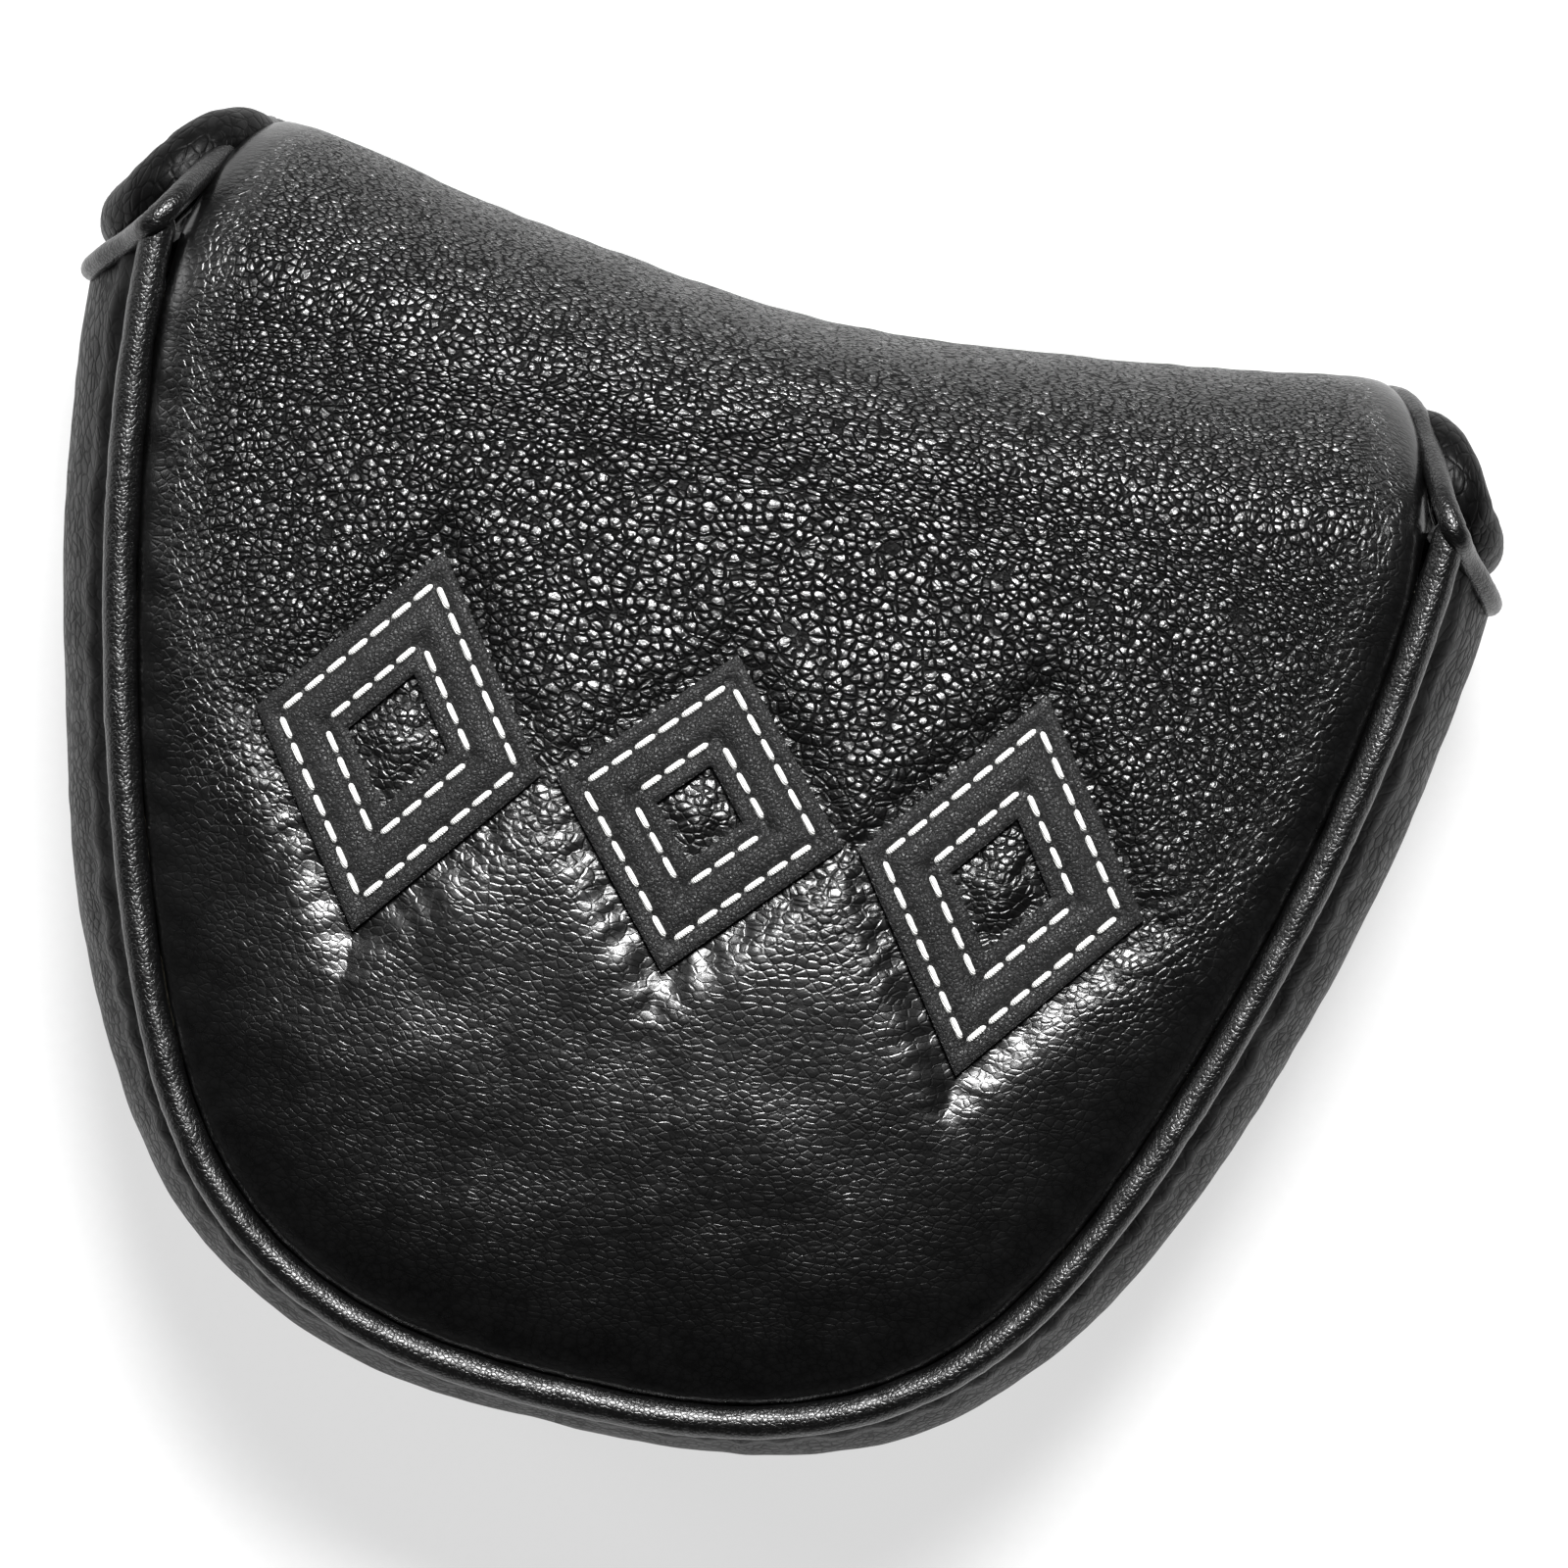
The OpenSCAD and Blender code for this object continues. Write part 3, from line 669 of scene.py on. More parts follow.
# It is deepest above the patches, and nearly flat at the back and beside the seams.
relief = smooth((side_way - 2) / 8) * (0.09 + 0.91 * smooth((plain[..., 1] + 14) / 34)) + 0.05
crown_skin = layer("crown_leather", face, back, grain, relief)
finish_piece(crown_skin, CROWN, "grain_leather", "both", "crown_panel")

plain_low = lower(0, EDGE_IN)
low_way = edge_distance(plain_low)
low_n = normals(plain_low)
low_fade = smooth((plain_low[..., 2] - 1.5) / 10)
low_moves = -TUCK * hump(low_way, TUCK_WIDTH) + stretched(plain_low) * low_fade * smooth(low_way / 3)
low_face = plain_low + low_n * low_moves[..., None]
low_face[..., 2] = np.maximum(low_face[..., 2], 0.02)
low_back = low_face + lower(LEATHER, EDGE_IN) - plain_low
low_run = run_of(plain_low[:, COLUMNS // 2])
low_grain = plain_low.copy()
low_grain = low_grain + (low_grain - [0, ROLL_Y - 10, 0]) * 0.25
low_grain[..., 0] = grain[-1, :, 0]
low_grain[..., 1] = grain[-1, :, 1] + low_run[:, None] * 1.9
low_grain[..., 2] = 0
low_relief = smooth((low_way - 2.5) / 8) * 0.65 + 0.05
flap_skin = layer("flap_leather", low_face, low_back, low_grain, low_relief)
finish_piece(flap_skin, CROWN, "grain_leather", "flap", "flap_panel")

# Under the leather: the padding thins from the crown's to the flap's past the hinge, and closes
# towards the flap's bound edge.
row_way = np.concatenate([rows_y, ROLL_Y + np.cumsum(np.full(ROLL_ROWS, 32 / ROLL_ROWS))])
past_hinge = smooth((row_way - HINGE_Y + 6) / 12)[:, None]


def under(depths, way, past):
    """Depth of a sheet under the face, less towards the flap's edges."""
    shell_depth, flap_depth, edge_depth = depths
    flap = edge_depth + (flap_depth - edge_depth) * smooth(way / 7)
    return shell_depth * (1 - past) + flap * past


def every(grid, step):
    """The same sheet with fewer points."""
    keep_r = np.unique(np.append(np.arange(0, grid.shape[0], step), grid.shape[0] - 1))
    keep_c = np.unique(np.append(np.arange(0, grid.shape[1], step), grid.shape[1] - 1))
    return grid[np.ix_(keep_r, keep_c)]


drawn = (lift * (1 - on_roll))[..., None] * [0, 0, 1]
gap = 0.06
foam_top = upper(LEATHER + gap, 4.6) + drawn + out_n * (np.minimum(0, stretch) * on_roll)[..., None]
foam_low = upper(under(PAD_BACK, side_way, past_hinge), 4.6)
padding = layer("crown_padding", every(foam_top, 2), every(foam_low, 2))
finish_piece(padding, FOAM, "padding", "both", "crown_foam")
plush_top = upper(under(PLUSH_FACE, side_way, past_hinge), 2.4)
plush_low = upper(under(PLUSH_BACK, side_way, past_hinge), 2.4)
plush_low = plush_low + 0.12 * noise(plush_low, 4, 12)[..., None] * [0, 0, 1]
plush = layer("crown_plush", every(plush_top, 2), every(plush_low, 2))
finish_piece(plush, PLUSH, "lining", "both", "crown_lining")

low_past = np.ones((LOW_ROWS + 1 + TAIL_ROWS, 1))
past_tip = plain_low[..., 1] - plain_low[-1, COLUMNS // 2, 1] + 0.3 * (plain_low[..., 2] > 2)
tip_way = np.minimum(low_way, np.maximum(0, past_tip))
flap_foam_top = lower(LEATHER + gap, 4.2)
flap_foam_low = lower(under(PAD_BACK, tip_way, low_past), 4.2)
flap_padding = layer("flap_padding", every(flap_foam_top, 2), every(flap_foam_low, 2))
flap_plush_top = lower(under(PLUSH_FACE, tip_way, low_past), 1.6)
flap_plush_low = lower(under(PLUSH_BACK, tip_way, low_past), 1.6)
flap_plush = layer("flap_plush", every(flap_plush_top, 2), every(flap_plush_low, 2))


def pocket(obj, node):
    """Cuts the two magnets' pockets in a padding."""
    low, high = corners(node)
    r = (high[1] - low[1]) / 2 + 0.1
    bm = bmesh.new()
    for side in (low[0] + r - 0.1, high[0] - r + 0.1):
        made = bmesh.ops.create_cone(
            bm, cap_ends=True, segments=48, radius1=r * MM, radius2=r * MM, depth=(high[2] - low[2] + 0.12) * MM,
        )
        centre = Vector((side, (low[1] + high[1]) / 2, (low[2] + high[2]) / 2)) * MM
        bmesh.ops.translate(bm, verts=made["verts"], vec=centre)
    mesh = bpy.data.meshes.new("pocket")
    bm.to_mesh(mesh)
    bm.free()
    cutter = bpy.data.objects.new("pocket", mesh)
    bpy.context.scene.collection.objects.link(cutter)
    cut = obj.modifiers.new("pocket", "BOOLEAN")
    cut.operation, cut.solver, cut.object = "DIFFERENCE", "EXACT", cutter
    bpy.context.view_layer.update()
    cut_mesh = bpy.data.meshes.new_from_object(obj.evaluated_get(bpy.context.evaluated_depsgraph_get()))
    obj.modifiers.clear()
    obj.data = cut_mesh
    bpy.data.objects.remove(cutter)
    return obj


finish_piece(pocket(flap_padding, "flap_magnets"), FOAM, "padding", "flap", "flap_foam")
finish_piece(flap_plush, PLUSH, "lining", "flap", "flap_lining")

# ---- Side wall ----

AROUND, UPRIGHT = ((400, 52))
HEM, HEM_LONG = 5.9, 3.2


def hollow(z):
    """How far the side wall's closure end is cut back at height z."""
    return 5.4 * (1 - ((z - MID_Z) / SEAM_HALF) ** 2)


def wall_bulge(way, z):
    """How far the wall lies inside the outline: on it at mid height, and in at the seams."""
    return seam_in(way) * np.abs((z - MID_Z) / SEAM_HALF) ** WALL_CURVE


def wall_grid(inset, low_z, high_z, around, upright, past_end=0.01):
    """The side wall's sheet, inset under its face. Its rows go round and its columns go up."""
    quarter = math.pi / 2 * 0.82
    z = MID_Z + (high_z - low_z) / 2 * np.sin(np.linspace(-1, 1, upright) * quarter) / math.sin(quarter)
    start = way_at(HINGE_Y - hollow(z) - past_end)[None, :]
    probe = np.linspace(0, 1, 400)
    f = even(rim(probe), probe, around // 2 + 1)
    side = start + (1 - start) * f[:, None]
    p = rim_in(side, wall_bulge(side, z) + inset)
    right = np.concatenate([p, np.broadcast_to(z[None, :, None], p.shape[:2] + (1,))], -1)
    left = right[:-1][::-1] * [-1, 1, 1]
    return np.concatenate([right, left])


def wall_face(grid):
    """Gathers under the seams, a rolled fold beside the crown piping, and shallow dents."""
    n = -normals(grid)
    down = SEAM_Z - grid[..., 2]
    up = grid[..., 2] - SOLE_Z
    way = np.arctan2(grid[..., 0], grid[..., 1] + 8) * 58
    near_seams = hump(down - 4.5, 4.5) + hump(up - 4.0, 4.5)
    folds = np.sin(2 * math.pi * way / 5.2 + 2.6 * noise(grid, 9, 21)) * near_seams
    d = 0.16 * folds + 0.30 * noise(grid, 15, 22) + 0.13 * noise(grid * [1, 1, 0.45], 4.2, 23)
    d = d + 0.07 * noise(grid * [1, 1, 0.6], 2.0, 24)
    d = d + 0.30 * hump(down - 2.6, 1.1) - 0.22 * hump(down - 4.6, 1.0)
    d = d * smooth(np.minimum(down, up) / 1.5)
    return grid + n * d[..., None]


face_z = SOLE_Z + 0.9, SEAM_Z - 0.9
wall = wall_grid(0, *face_z, AROUND, UPRIGHT)
wall_out = wall_face(wall)
middle_way = 1 - np.abs((wall[: AROUND // 2 + 1, :, 2] - MID_Z) / SEAM_HALF) ** 4
hem = LEATHER + HEM * smooth(1.5 - np.arange(AROUND // 2 + 1) / (AROUND / 200))[:, None] * middle_way
wall_in = wall_out + wall_grid(hem, *face_z, AROUND, UPRIGHT) - wall
wall_run = np.arctan2(wall[..., 0], wall[..., 1] + 8) * 62
wall_grain = np.stack([wall_run, wall[..., 2] * 0.8, 0 * wall_run], -1)
seam_way = np.minimum(SEAM_Z - wall[..., 2], wall[..., 2] - SOLE_Z)
wall_skin = layer("wall_leather", wall_out, wall_in, wall_grain, 0.25 + 0.75 * smooth((seam_way - 3) / 6))
finish_piece(wall_skin, WALL, "grain_leather", "shell", "gusset_panel")
inner_z = SOLE_Z + PAD_BACK[0], SEAM_Z - PAD_BACK[0]
wall_pad = layer(
    "wall_padding",
    wall_grid(1.95, *inner_z, AROUND // 2, UPRIGHT // 2, HEM_LONG),
    wall_grid(5.9, *inner_z, AROUND // 2, UPRIGHT // 2, HEM_LONG),
)
finish_piece(wall_pad, FOAM, "padding", "shell", "gusset_foam")
soft = wall_grid(6.9, *inner_z, AROUND // 2, UPRIGHT // 2)
soft = soft + 0.10 * noise(soft, 4, 12)[..., None]
wall_plush = layer("wall_plush", wall_grid(6.0, *inner_z, AROUND // 2, UPRIGHT // 2), soft)
finish_piece(wall_plush, PLUSH, "lining", "shell", "gusset_lining")

# ---- Sole ----

sole_half_ways = even(rim_in(many, seam_in(many) + EDGE_IN), many, ROWS // 2)[::-1]


def sole(inset, edge_in):
    """The sole's sheet, stepped up where the flap's tail lies under it."""
    h = sole_half_ways
    p = rim_in(h, seam_in(h) + edge_in)
    u = U[None, ::2]
    swell = pillow(u, h[:, None]) ** 0.8
    flat = np.maximum(0.02, SOLE_Z - 1.25 * SOLE_Z * swell)
    step = STEP_Z * smooth((p[:, 1:] - TAIL_Y + 7) / 5)
    z = np.maximum(flat, step) + inset
    return np.stack(np.broadcast_arrays(u * p[:, :1], p[:, 1:], z), -1)


sole_plain = sole(0, EDGE_IN)
sole_way = edge_distance(sole_plain)
dents = 0.25 * (1 + noise(sole_plain, 12, 31)) * smooth(sole_way / 6)
sole_out = sole_plain + dents[..., None] * [0, 0, 1] * (sole_plain[..., 2:] > STEP_Z - 0.5)
sole_skin = layer(
    "sole_leather", sole_out, sole_out + [0, 0, LEATHER], sole_plain * [1, 1, 0], smooth(sole_way / 6) * 0.7,
)
finish_piece(sole_skin, WALL, "grain_leather", "shell", "sole_panel")
sole_pad = layer("sole_padding", sole(LEATHER + 0.6, 3.2), sole(PAD_BACK[0], 3.2))
finish_piece(pocket(sole_pad, "sole_magnets"), FOAM, "padding", "shell", "sole_foam")
sole_soft = sole(PLUSH_BACK[0], 4.25)
sole_soft = sole_soft + 0.1 * noise(sole_soft, 4, 12)[..., None] * [0, 0, 1]
sole_plush = layer("sole_plush", sole(PLUSH_FACE[0], 4.25), sole_soft)
finish_piece(sole_plush, PLUSH, "lining", "shell", "sole_lining")

mouth_x = corners("sole_edge_binding")[1][0] * U[::2]
mouth_base = np.interp(mouth_x, sole_out[-1, :, 0], sole_out[-1, :, 2])
mouth_points = 28
strip = []
for x, z in zip(mouth_x, mouth_base):
    for a in np.linspace(0, 2 * math.pi, mouth_points, endpoint=False):
        c, s = math.cos(a), math.sin(a)
        y = ROLL_Y + 0.75 + 0.65 * math.copysign(abs(c) ** 0.7, c)
        strip.append((x, y, z + 3.65 + 3.75 * math.copysign(abs(s) ** 0.5, s)))
strip = np.array(strip)
strip += 0.06 * noise(strip, 2.5, 33)[..., None]
mouth = make("mouth_binding", strip, ring_faces(len(mouth_x), mouth_points), None, 0.6, sharp=60)
finish_piece(mouth, TRIM, "smooth_leather", "shell", "sole_edge_binding")

# ---- Pipings in the crown and sole seams ----


def seam_line(z):
    """The seam's centre line at height z, from one closure corner round the back to the other."""
    probe = np.linspace(0.0, 1, 700)
    h = even(rim_in(probe, seam_in(probe)), probe, 160)
    p = rim_in(h, seam_in(h))
    right = np.stack([p[:, 0], p[:, 1], np.full(len(h), z)], -1)
    right = np.concatenate([right[:1] + [[0, 0.9, 0]], right])
    return resample(np.concatenate([right, right[:-1][::-1] * [-1, 1, 1]]), 0.55)


def wrapped_radius(at, r, k, seed):
    """A piping's radius at k points round it: the cord shows through, with small pleats."""
    a = np.linspace(0, 2 * math.pi, k, endpoint=False)[None]
    ring = np.stack(np.broadcast_arrays(at[:, None] * 1.0, 3 * np.cos(a), 3 * np.sin(a)), -1)
    pleats = 0.035 * noise(ring * [1, 0.4, 0.4], 0.9, seed) + 0.05 * noise(ring, 3.5, seed + 1)
    return r * (1 + (pleats + 0.035 * noise(ring, 14, seed + 2)))


for name, z in (("crown", SEAM_Z), ("sole", SOLE_Z)):
    path, at = seam_line(z)
    piece = tube(name + "_seam_piping", path, wrapped_radius(at, PIPING_R, 22, 40), (0, 0, 1), relief=0.8)
    finish_piece(piece, TRIM, "smooth_leather", "shell", name + "_piping")

# ---- Closure corners: opening piping, flap binding, collar ----


def wall_end(z):
    """Just outside the side wall's closure end at height z."""
    start = way_at(HINGE_Y - hollow(z) - 0.01)
    p = rim_in(start, wall_bulge(start, z))
    return np.stack([p[:, 0] + 0.1, p[:, 1] - 0.35, z], -1)


def bound_edge(grid, n):
    """The centre line of the binding along a sheet's right side."""
    return grid[:, -1] + [0.4, 0, 0] - n[:, -6] * BINDING_R * 0.8


# One line: up the roll's edge, over the end of the crown's piping, and down the side wall's end.
roll_edge = bound_edge(plain[ROWS:], out_n[ROWS:])
roll_edge = roll_edge[roll_edge[:, 1] > HINGE_Y + 6.5][::-5]
over = np.array([[-1.9, 4.2, -1.8], [-1.1, 2.5, 0.3], [-0.1, 0.8, 1.35], [1.0, -0.7, 0.9]])
over = over + [ROOT_HALF + 1.3, HINGE_Y, SEAM_Z]
down = wall_end(np.array([40.6, 36.0, 31.5]))
middle = [[HALF - 0.5, HINGE_Y - 5.25, MID_Z]]
mirrored = down[::-1] * [1, 1, -1] + [0, 0, 2 * MID_Z]
tucked = [[ROOT_HALF + 2.1, HINGE_Y - 1.0, SOLE_Z + 0.9], [ROOT_HALF + 1.5, HINGE_Y - 0.3, SOLE_Z]]
turn_points = np.concatenate([roll_edge, over, down, middle, mirrored, tucked])
whole_line = resample(rounded(turn_points, 8), 0.5)[0]
cut = int(np.argmin(np.linalg.norm(whole_line - over[2], axis=1)))
upper_edge, shell_line = whole_line[: cut + 3][::-1], whole_line[cut - 2:]
WEB_ROWS, WEB_COLUMNS = 60, 12


def corner_web(ear):
    """The gathered leather between the side wall's end and the collar."""
    outer = wall_end(np.linspace(SEAM_Z - 4.2, SOLE_Z + 4.2, WEB_ROWS)) - [0.5, 0, 0]
    inner = resample(rounded(ear[2:-2, :3], 10), 0.3)[0]
    inner = inner[np.linspace(0, len(inner) - 1, WEB_ROWS).astype(int)]
    c = np.linspace(0, 1, WEB_COLUMNS)[None, :, None]
    web = outer[:, None] * (1 - c) + inner[:, None] * c
    wave = np.sin(2 * math.pi * web[..., 2] / 2.6 + 2 * noise(web, 3, 90)) * np.sin(math.pi * c[..., 0])
    return web + normals(web) * (0.3 * wave)[..., None]


low_edge = bound_edge(plain_low, low_n)
low_edge[:, 2] = np.maximum(low_edge[:, 2], BINDING_R)

# Each collar's centre line and radius (x, y, z, r), from its upper root to mid height. The lower
# half is its mirror image.
EARS = {
    "heel": [
        (56.0, 52.4, 29.5, 2.4), (57.8, 52.0, 32.4, 2.8), (59.5, 50.6, 34.6, 2.9), (61.0, 48.5, 35.7, 2.9),
        (62.2, 46.4, 35.0, 2.9), (63.6, 44.5, 32.0, 3.1), (64.1, 43.5, MID_Z, 3.2),
    ],
    "toe": [
        (54.8, 54.0, 28.5, 2.5), (56.6, 53.6, 31.5, 3.0), (58.7, 52.0, 34.4, 3.2), (60.7, 49.3, 35.9, 3.3),
        (62.5, 46.6, 35.2, 3.2), (64.0, 44.6, 31.8, 3.3), (64.4, 43.9, MID_Z, 3.3),
    ],
}

for side, name in ((1, "heel"), (-1, "toe")):
    flip = np.array([side, 1, 1])
    path, at = resample(shell_line, 0.5)
    radius = wrapped_radius(at, BINDING_R - 0.04, 18, 50 + side)
    piece = tube(name + "_corner_piping", path * flip, radius, (0, 1, 0.2), False, relief=0.8)
    finish_piece(piece, TRIM, "smooth_leather", "shell", name + "_collar_piping")

    path, at = resample(upper_edge, 0.5)
    radius = wrapped_radius(at, BINDING_R - 0.02, 18, 55 + side)
    piece = tube(name + "_flap_binding", path * flip, radius, (1, 0, 0.2), False, relief=0.8)
    finish_piece(piece, TRIM, "smooth_leather", "both")

    ear = np.array(EARS[name])
    ear = np.concatenate([ear, ear[:-1][::-1] * [1, 1, -1, 1] + [0, 0, 2 * MID_Z, 0]])
    line = rounded(ear[:, :3], 14)
    fat = rounded(ear[:, [3, 3, 3]], 14)[:, 0]
    path, at = resample(line, 0.4)
    fat = np.interp(at / at[-1], np.linspace(0, 1, len(fat)), fat)
    a = np.linspace(0, 2 * math.pi, 36, endpoint=False)[None]
    ring = np.stack(np.broadcast_arrays(at[:, None], 3 * np.cos(a), 3 * np.sin(a)), -1)
    folds = 0.4 * np.sin(2 * math.pi * at[:, None] / 2.9 + 3.0 * noise(ring, 3, 60 + side))
    folds = folds + 0.9 * noise(ring * [1, 0.4, 0.4], 1.7, 62 + side)
    radius = fat[:, None] * (1 + 0.026 * folds * smooth(np.minimum(at, at[-1] - at)[:, None] / 4))
    piece = tube(name + "_gathered_collar", path * flip, radius, (1, 0, 0), relief=0.5)
    finish_piece(piece, WALL, "smooth_leather", "shell", name + "_collar")
    web = corner_web(ear)
    relief = np.full(web.shape[:2], 0.6)
    piece = layer(name + "_corner_web", web * flip, (web - [1.0, 0, 0]) * flip, None, relief)
    finish_piece(piece, WALL, "smooth_leather", "shell")

tip_x = np.linspace(0.92, -0.92, 9)[:, None] * low_edge[-1] * [1, 0, 0]
tip = tip_x + [0, TAIL_Y - 0.1, BINDING_R]
whole = np.concatenate([low_edge, tip, low_edge[::-1] * [-1, 1, 1]])
path, at = resample(rounded(whole[::3], 6), 0.6)
path[:, 2] = np.maximum(path[:, 2], BINDING_R + 0.08)
radius = wrapped_radius(at, BINDING_R, 16, 70)
piece = tube("flap_edge_binding", path, radius, (0.3, 0.2, 1), relief=0.8)
finish_piece(piece, TRIM, "smooth_leather", "flap", "flap_binding")

# ---- Patches and their stitches ----


def height(x, y):
    """The finished crown's height at a place on its top."""
    row = np.interp(y, rows_y, np.arange(ROWS))
    half = np.interp(y, rows_y, plain[:ROWS, -1, 0])
    col = np.interp(x / half, U, np.arange(COLUMNS))
    i, j = np.minimum(row.astype(int), ROWS - 2), np.minimum(col.astype(int), COLUMNS - 2)
    f, g = row - i, col - j
    z = face[:ROWS, :, 2]
    return (1 - f) * ((1 - g) * z[i, j] + g * z[i, j + 1]) + f * ((1 - g) * z[i + 1, j] + g * z[i + 1, j + 1])


def plain_height(x, y):
    """The crown's height there without its small dents."""
    e = 1.2
    return sum(height(x + dx, y + dy) for dx, dy in ((0, 0), (e, 0), (-e, 0), (0, e), (0, -e))) / 5


def lozenge(centre, half, n):
    """Points along a lozenge's outline, n on each side."""
    q = np.linspace(0, 4, 4 * n, endpoint=False)
    k = np.floor(q)
    f = q - k
    a, b = k * math.pi / 2, (k + 1) * math.pi / 2
    x = centre[0] + half[0] * (np.cos(a) * (1 - f) + np.cos(b) * f)
    return np.stack([x, centre[1] + half[1] * (np.sin(a) * (1 - f) + np.sin(b) * f)], -1)


def drawn_in(half, d):
    """A lozenge's half sizes when its sides move in by d."""
    return half - d * np.linalg.norm(half) / half[::-1]


ACROSS = np.concatenate([[0, 0.012, 0.035], np.linspace(0.08, 0.92, 25), [0.965, 0.988, 1]])


def patch_top(w):
    """Height of the patch's face over the crown, from its outer edge to its window."""
    d = np.minimum(w, 1 - w) * BAND
    rows = np.minimum(np.abs(w * BAND - STITCH_IN), np.abs((1 - w) * BAND - STITCH_IN))
    puff = 0.45 * np.clip(1 - ((w - 0.5) / 0.26) ** 2, 0, 1)
    edge = PATCH_T * (0.82 + 0.18 * smooth(d / 0.3))
    return edge + puff - 0.30 * hump(rows, 0.55) + 0.08 * hump(d - 0.9, 0.6)


def capsule(a, b, across, rise, radius=0.29, rings=11, k=10):
    """One stitch from a to b, dipping into its holes at both ends."""
    s = np.linspace(-1, 1, rings)
    line = (a + b) / 2 + s[:, None] * (b - a) / 2 - rise * (0.34 * np.abs(s) ** 5)[:, None]
    r = radius * np.sqrt(np.maximum(0.08, 1 - np.abs(s) ** 6))
    t = np.linspace(0, 2 * math.pi, k, endpoint=False)
    ring = np.cos(t)[None, :, None] * across + 0.8 * np.sin(t)[None, :, None] * rise
    return line[:, None] + r[:, None, None] * ring


SIDE_POINTS = 30

for node, (centre, half) in PATCHES.items():
    rings = []
    for w in ACROSS:
        xy = lozenge(centre, drawn_in(half, w * BAND), SIDE_POINTS)
        base = plain_height(xy[:, 0], xy[:, 1])
        wobble = 0.05 * noise(np.column_stack([xy, base]), 3.0, 80)
        rings.append(np.column_stack([xy, base + patch_top(w) + wobble]))
    top = np.array(rings)
    low = top.copy()
    for i, w in enumerate(ACROSS):
        low[i, :, 2] = plain_height(low[i, :, 0], low[i, :, 1]) + 0.05
    points = np.concatenate([top.reshape(-1, 3), low.reshape(-1, 3)])
    r, m = len(ACROSS), 4 * SIDE_POINTS
    faces = []
    for i in range(r - 1):
        for j in range(m):
            c = (j + 1) % m
            faces.append([i * m + j, i * m + c, (i + 1) * m + c, (i + 1) * m + j])
            faces.append([(r + i) * m + j, (r + i + 1) * m + j, (r + i + 1) * m + c, (r + i) * m + c])
    for i in (0, r - 1):
        for j in range(m):
            c = (j + 1) % m
            faces.append([i * m + j, (r + i) * m + j, (r + i) * m + c, i * m + c])
    piece = make(node + "_leather", points, faces, points * [1, 1, 0], 1.0, sharp=50)
    finish_piece(piece, PATCH, "patch_leather", "shell", node)

    capsules = []
    for inset in (STITCH_IN, BAND - STITCH_IN):
        row = drawn_in(half, inset)
        side = np.linalg.norm(row)
        count = int(side / PITCH - 0.2)
        margin = (side - count * PITCH) / 2
        for q in range(4):
            a = centre + row * [math.cos(q * math.pi / 2), math.sin(q * math.pi / 2)]
            b = centre + row * [math.cos((q + 1) * math.pi / 2), math.sin((q + 1) * math.pi / 2)]
            along = (b - a) / side
            for s in range(count):
                ends = []
                for f in (0.05, 0.93):
                    xy = a + along * (margin + (s + f) * PITCH)
                    z = plain_height(xy[:1], xy[1:])[0] + PATCH_T - 0.02
                    ends.append(np.array([xy[0], xy[1], z]))
                way = ends[1] - ends[0]
                way = way / np.linalg.norm(way)
                across = np.array([-way[1], way[0], 0])
                across /= np.linalg.norm(across)
                capsules.append(capsule(ends[0], ends[1], across, np.cross(way, across)))
    count, k = capsules[0].shape[:2]
    faces = [f for c in range(len(capsules)) for f in ring_faces(count, k, c * count * k)]
    points = np.array(capsules).reshape(-1, 3)
    piece = make(node + "_stitches", points, faces, None, 1.0, sharp=80)
    finish_piece(piece, THREAD, "thread", "shell", node + "_stitching")

# ---- CAD pieces that stay, with better finishes ----

for node, material in (
    ("crown_piping_cord", CORD), ("sole_piping_cord", CORD), ("heel_collar_elastic", RUBBER),
    ("toe_collar_elastic", RUBBER), ("sole_magnets", NICKEL), ("flap_magnets", NICKEL),
):
    obj = frame["nodes"][node]
    if not obj.material_slots:
        obj.data.materials.append(material)
    for place in obj.material_slots:
        place.material = material

# ---- Floor, light and camera ----


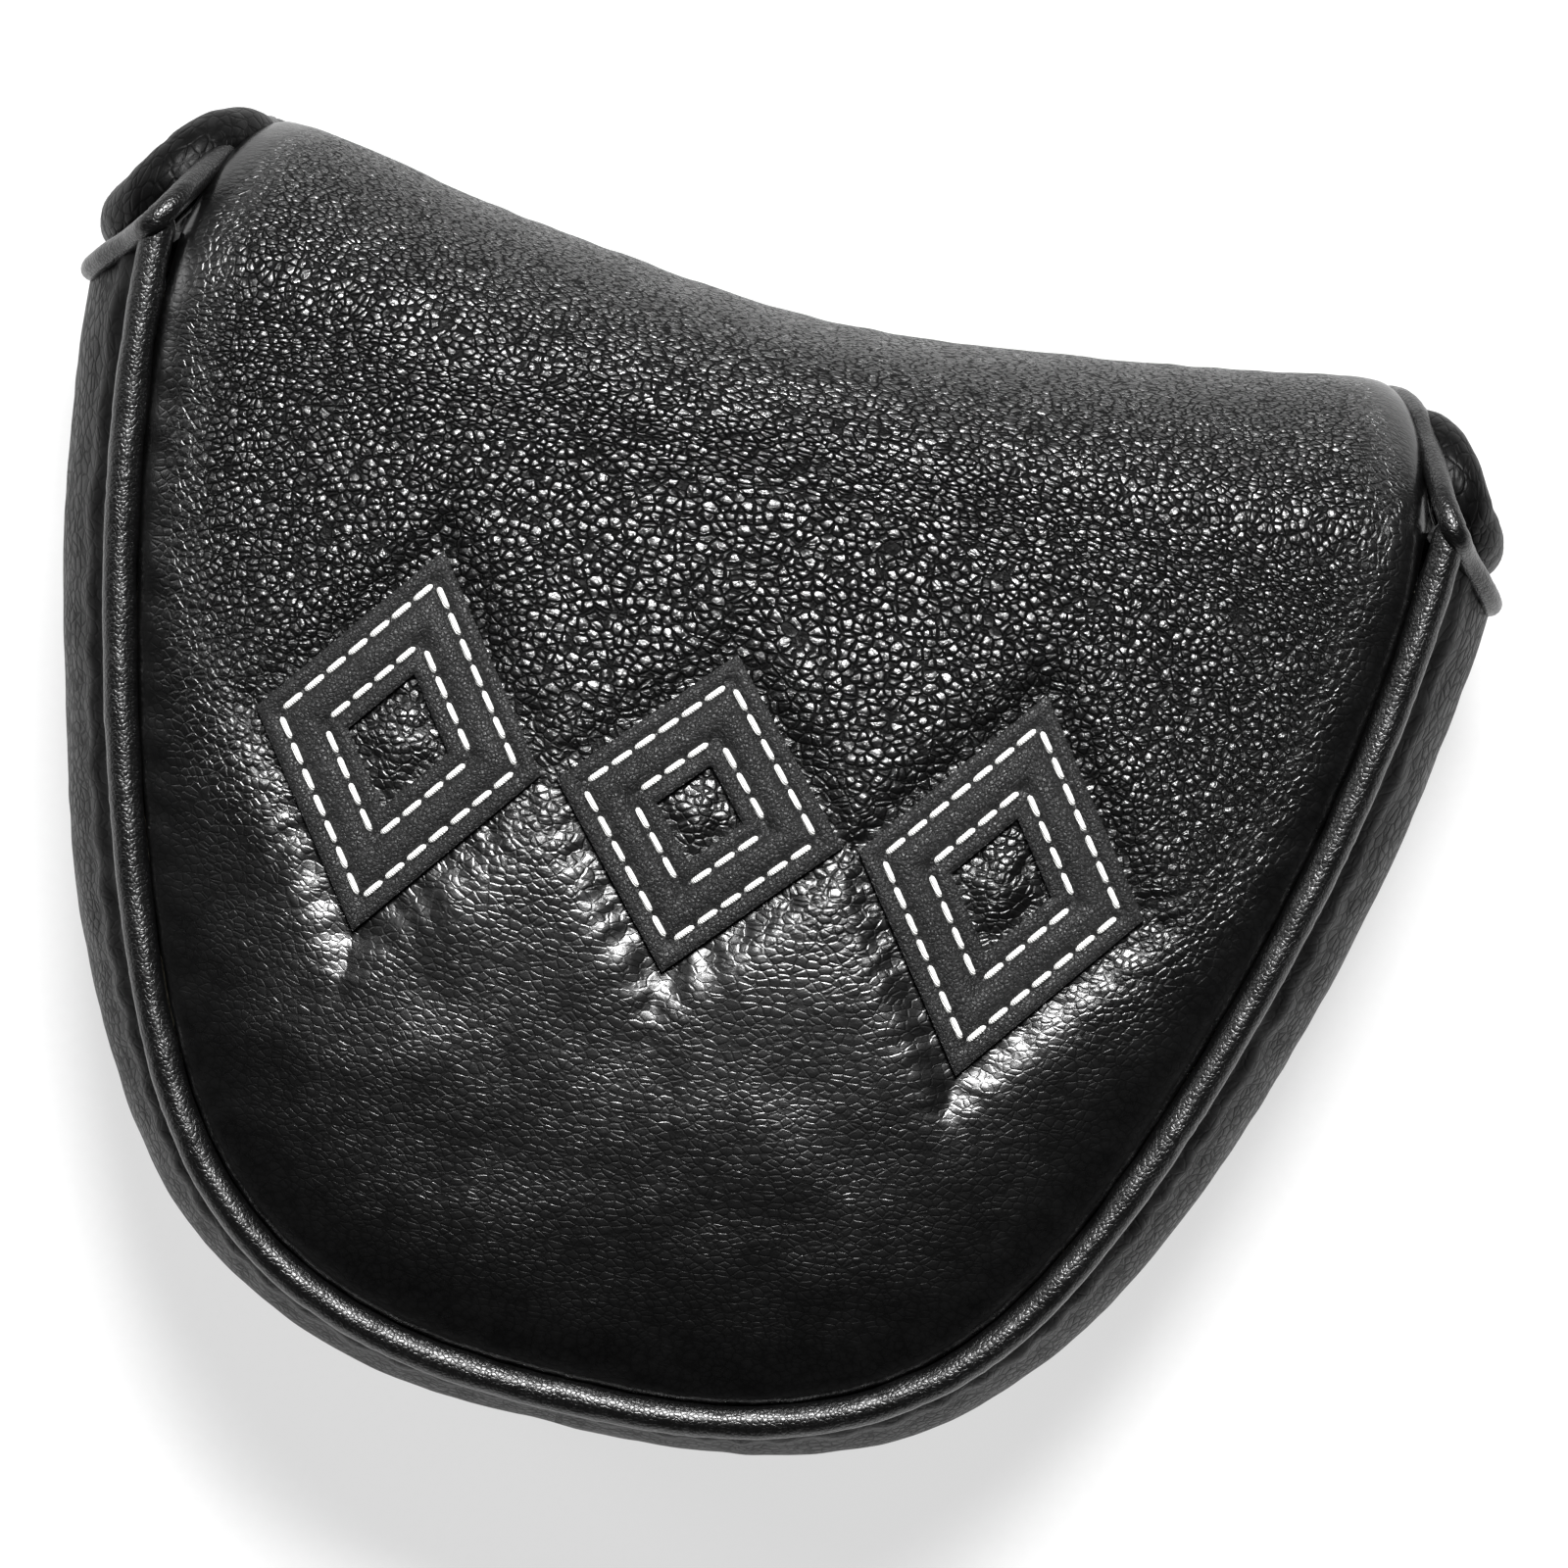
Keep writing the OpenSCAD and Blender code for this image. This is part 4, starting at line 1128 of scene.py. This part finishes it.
def floor():
    mesh = bpy.data.meshes.new("floor")
    mesh.from_pydata([(-4, -4, 0), (4, -4, 0), (4, 4, 0), (-4, 4, 0)], [], [(0, 1, 2, 3)])
    obj = bpy.data.objects.new("floor", mesh)
    bpy.context.scene.collection.objects.link(obj)
    n = Nodes("floor_paper", Specular_IOR_Level=0.1)
    where = n.add("TexCoord").outputs["Object"]
    fibre = n.add("TexNoise", None, Vector=where, Scale=900.0, Detail=2.0).outputs["Fac"]
    colour = n.mix(fibre, (0.24, 0.24, 0.24, 1), (0.27, 0.27, 0.27, 1))
    n.finish(colour, n.ramp(fibre, 0.3, 0.7, 0.8, 0.9), fibre, 0.00002)
    n.shader.inputs["Emission Color"].default_value = (1, 1, 1, 1)
    n.shader.inputs["Emission Strength"].default_value = 0.68
    obj.data.materials.append(n.material)


def softbox(name, place, target, size, power):
    light = bpy.data.lights.new(name, "AREA")
    light.shape = "RECTANGLE"
    light.size, light.size_y = size
    light.energy = power
    obj = bpy.data.objects.new(name, light)
    obj.location = place
    obj.rotation_euler = (Vector(target) - Vector(place)).to_track_quat("-Z", "Y").to_euler()
    bpy.context.scene.collection.objects.link(obj)


def world():
    w = bpy.data.worlds.new("studio")
    bpy.context.scene.world = w
    w.use_nodes = True
    tree = w.node_tree
    where = tree.nodes.new("ShaderNodeTexCoord")
    split = tree.nodes.new("ShaderNodeSeparateXYZ")
    ramp = tree.nodes.new("ShaderNodeMapRange")
    ramp.interpolation_type = "SMOOTHSTEP"
    tree.links.new(where.outputs["Generated"], split.inputs[0])
    tree.links.new(split.outputs["Z"], ramp.inputs["Value"])
    for key, value in (("From Min", 0.05), ("From Max", 0.55), ("To Min", 0.12), ("To Max", 0.005)):
        ramp.inputs[key].default_value = value
    back_light = tree.nodes["Background"]
    tree.links.new(ramp.outputs["Result"], back_light.inputs["Color"])
    back_light.inputs["Strength"].default_value = 1.0


floor()
world()
softbox("key_softbox", (-0.05, 0.78, 1.45), (0, 0.02, 0.03), (0.5, 0.4), 66)
softbox("left_softbox", (-1.5, 0.35, 0.9), (0, 0, 0.03), (0.3, 0.8), 4)
bpy.context.scene.view_settings.view_transform = "Standard"
bpy.context.scene.view_settings.exposure = 0.0

TILT = math.radians(13.5)
LENS, FRAME_WIDTH = 300.0, 0.1469
camera = bpy.data.cameras.new("camera")
camera.lens, camera.sensor_width = LENS, 36.0
camera.clip_start, camera.clip_end = 0.05, 30
eye = bpy.data.objects.new("camera", camera)
distance = FRAME_WIDTH * LENS / 36.0
eye.location = (0.0069, 0.0069, MID_Z * MM + distance)
eye.rotation_euler = (0, 0, TILT)
bpy.context.scene.collection.objects.link(eye)
bpy.context.scene.camera = eye

bpy.context.view_layer.update()
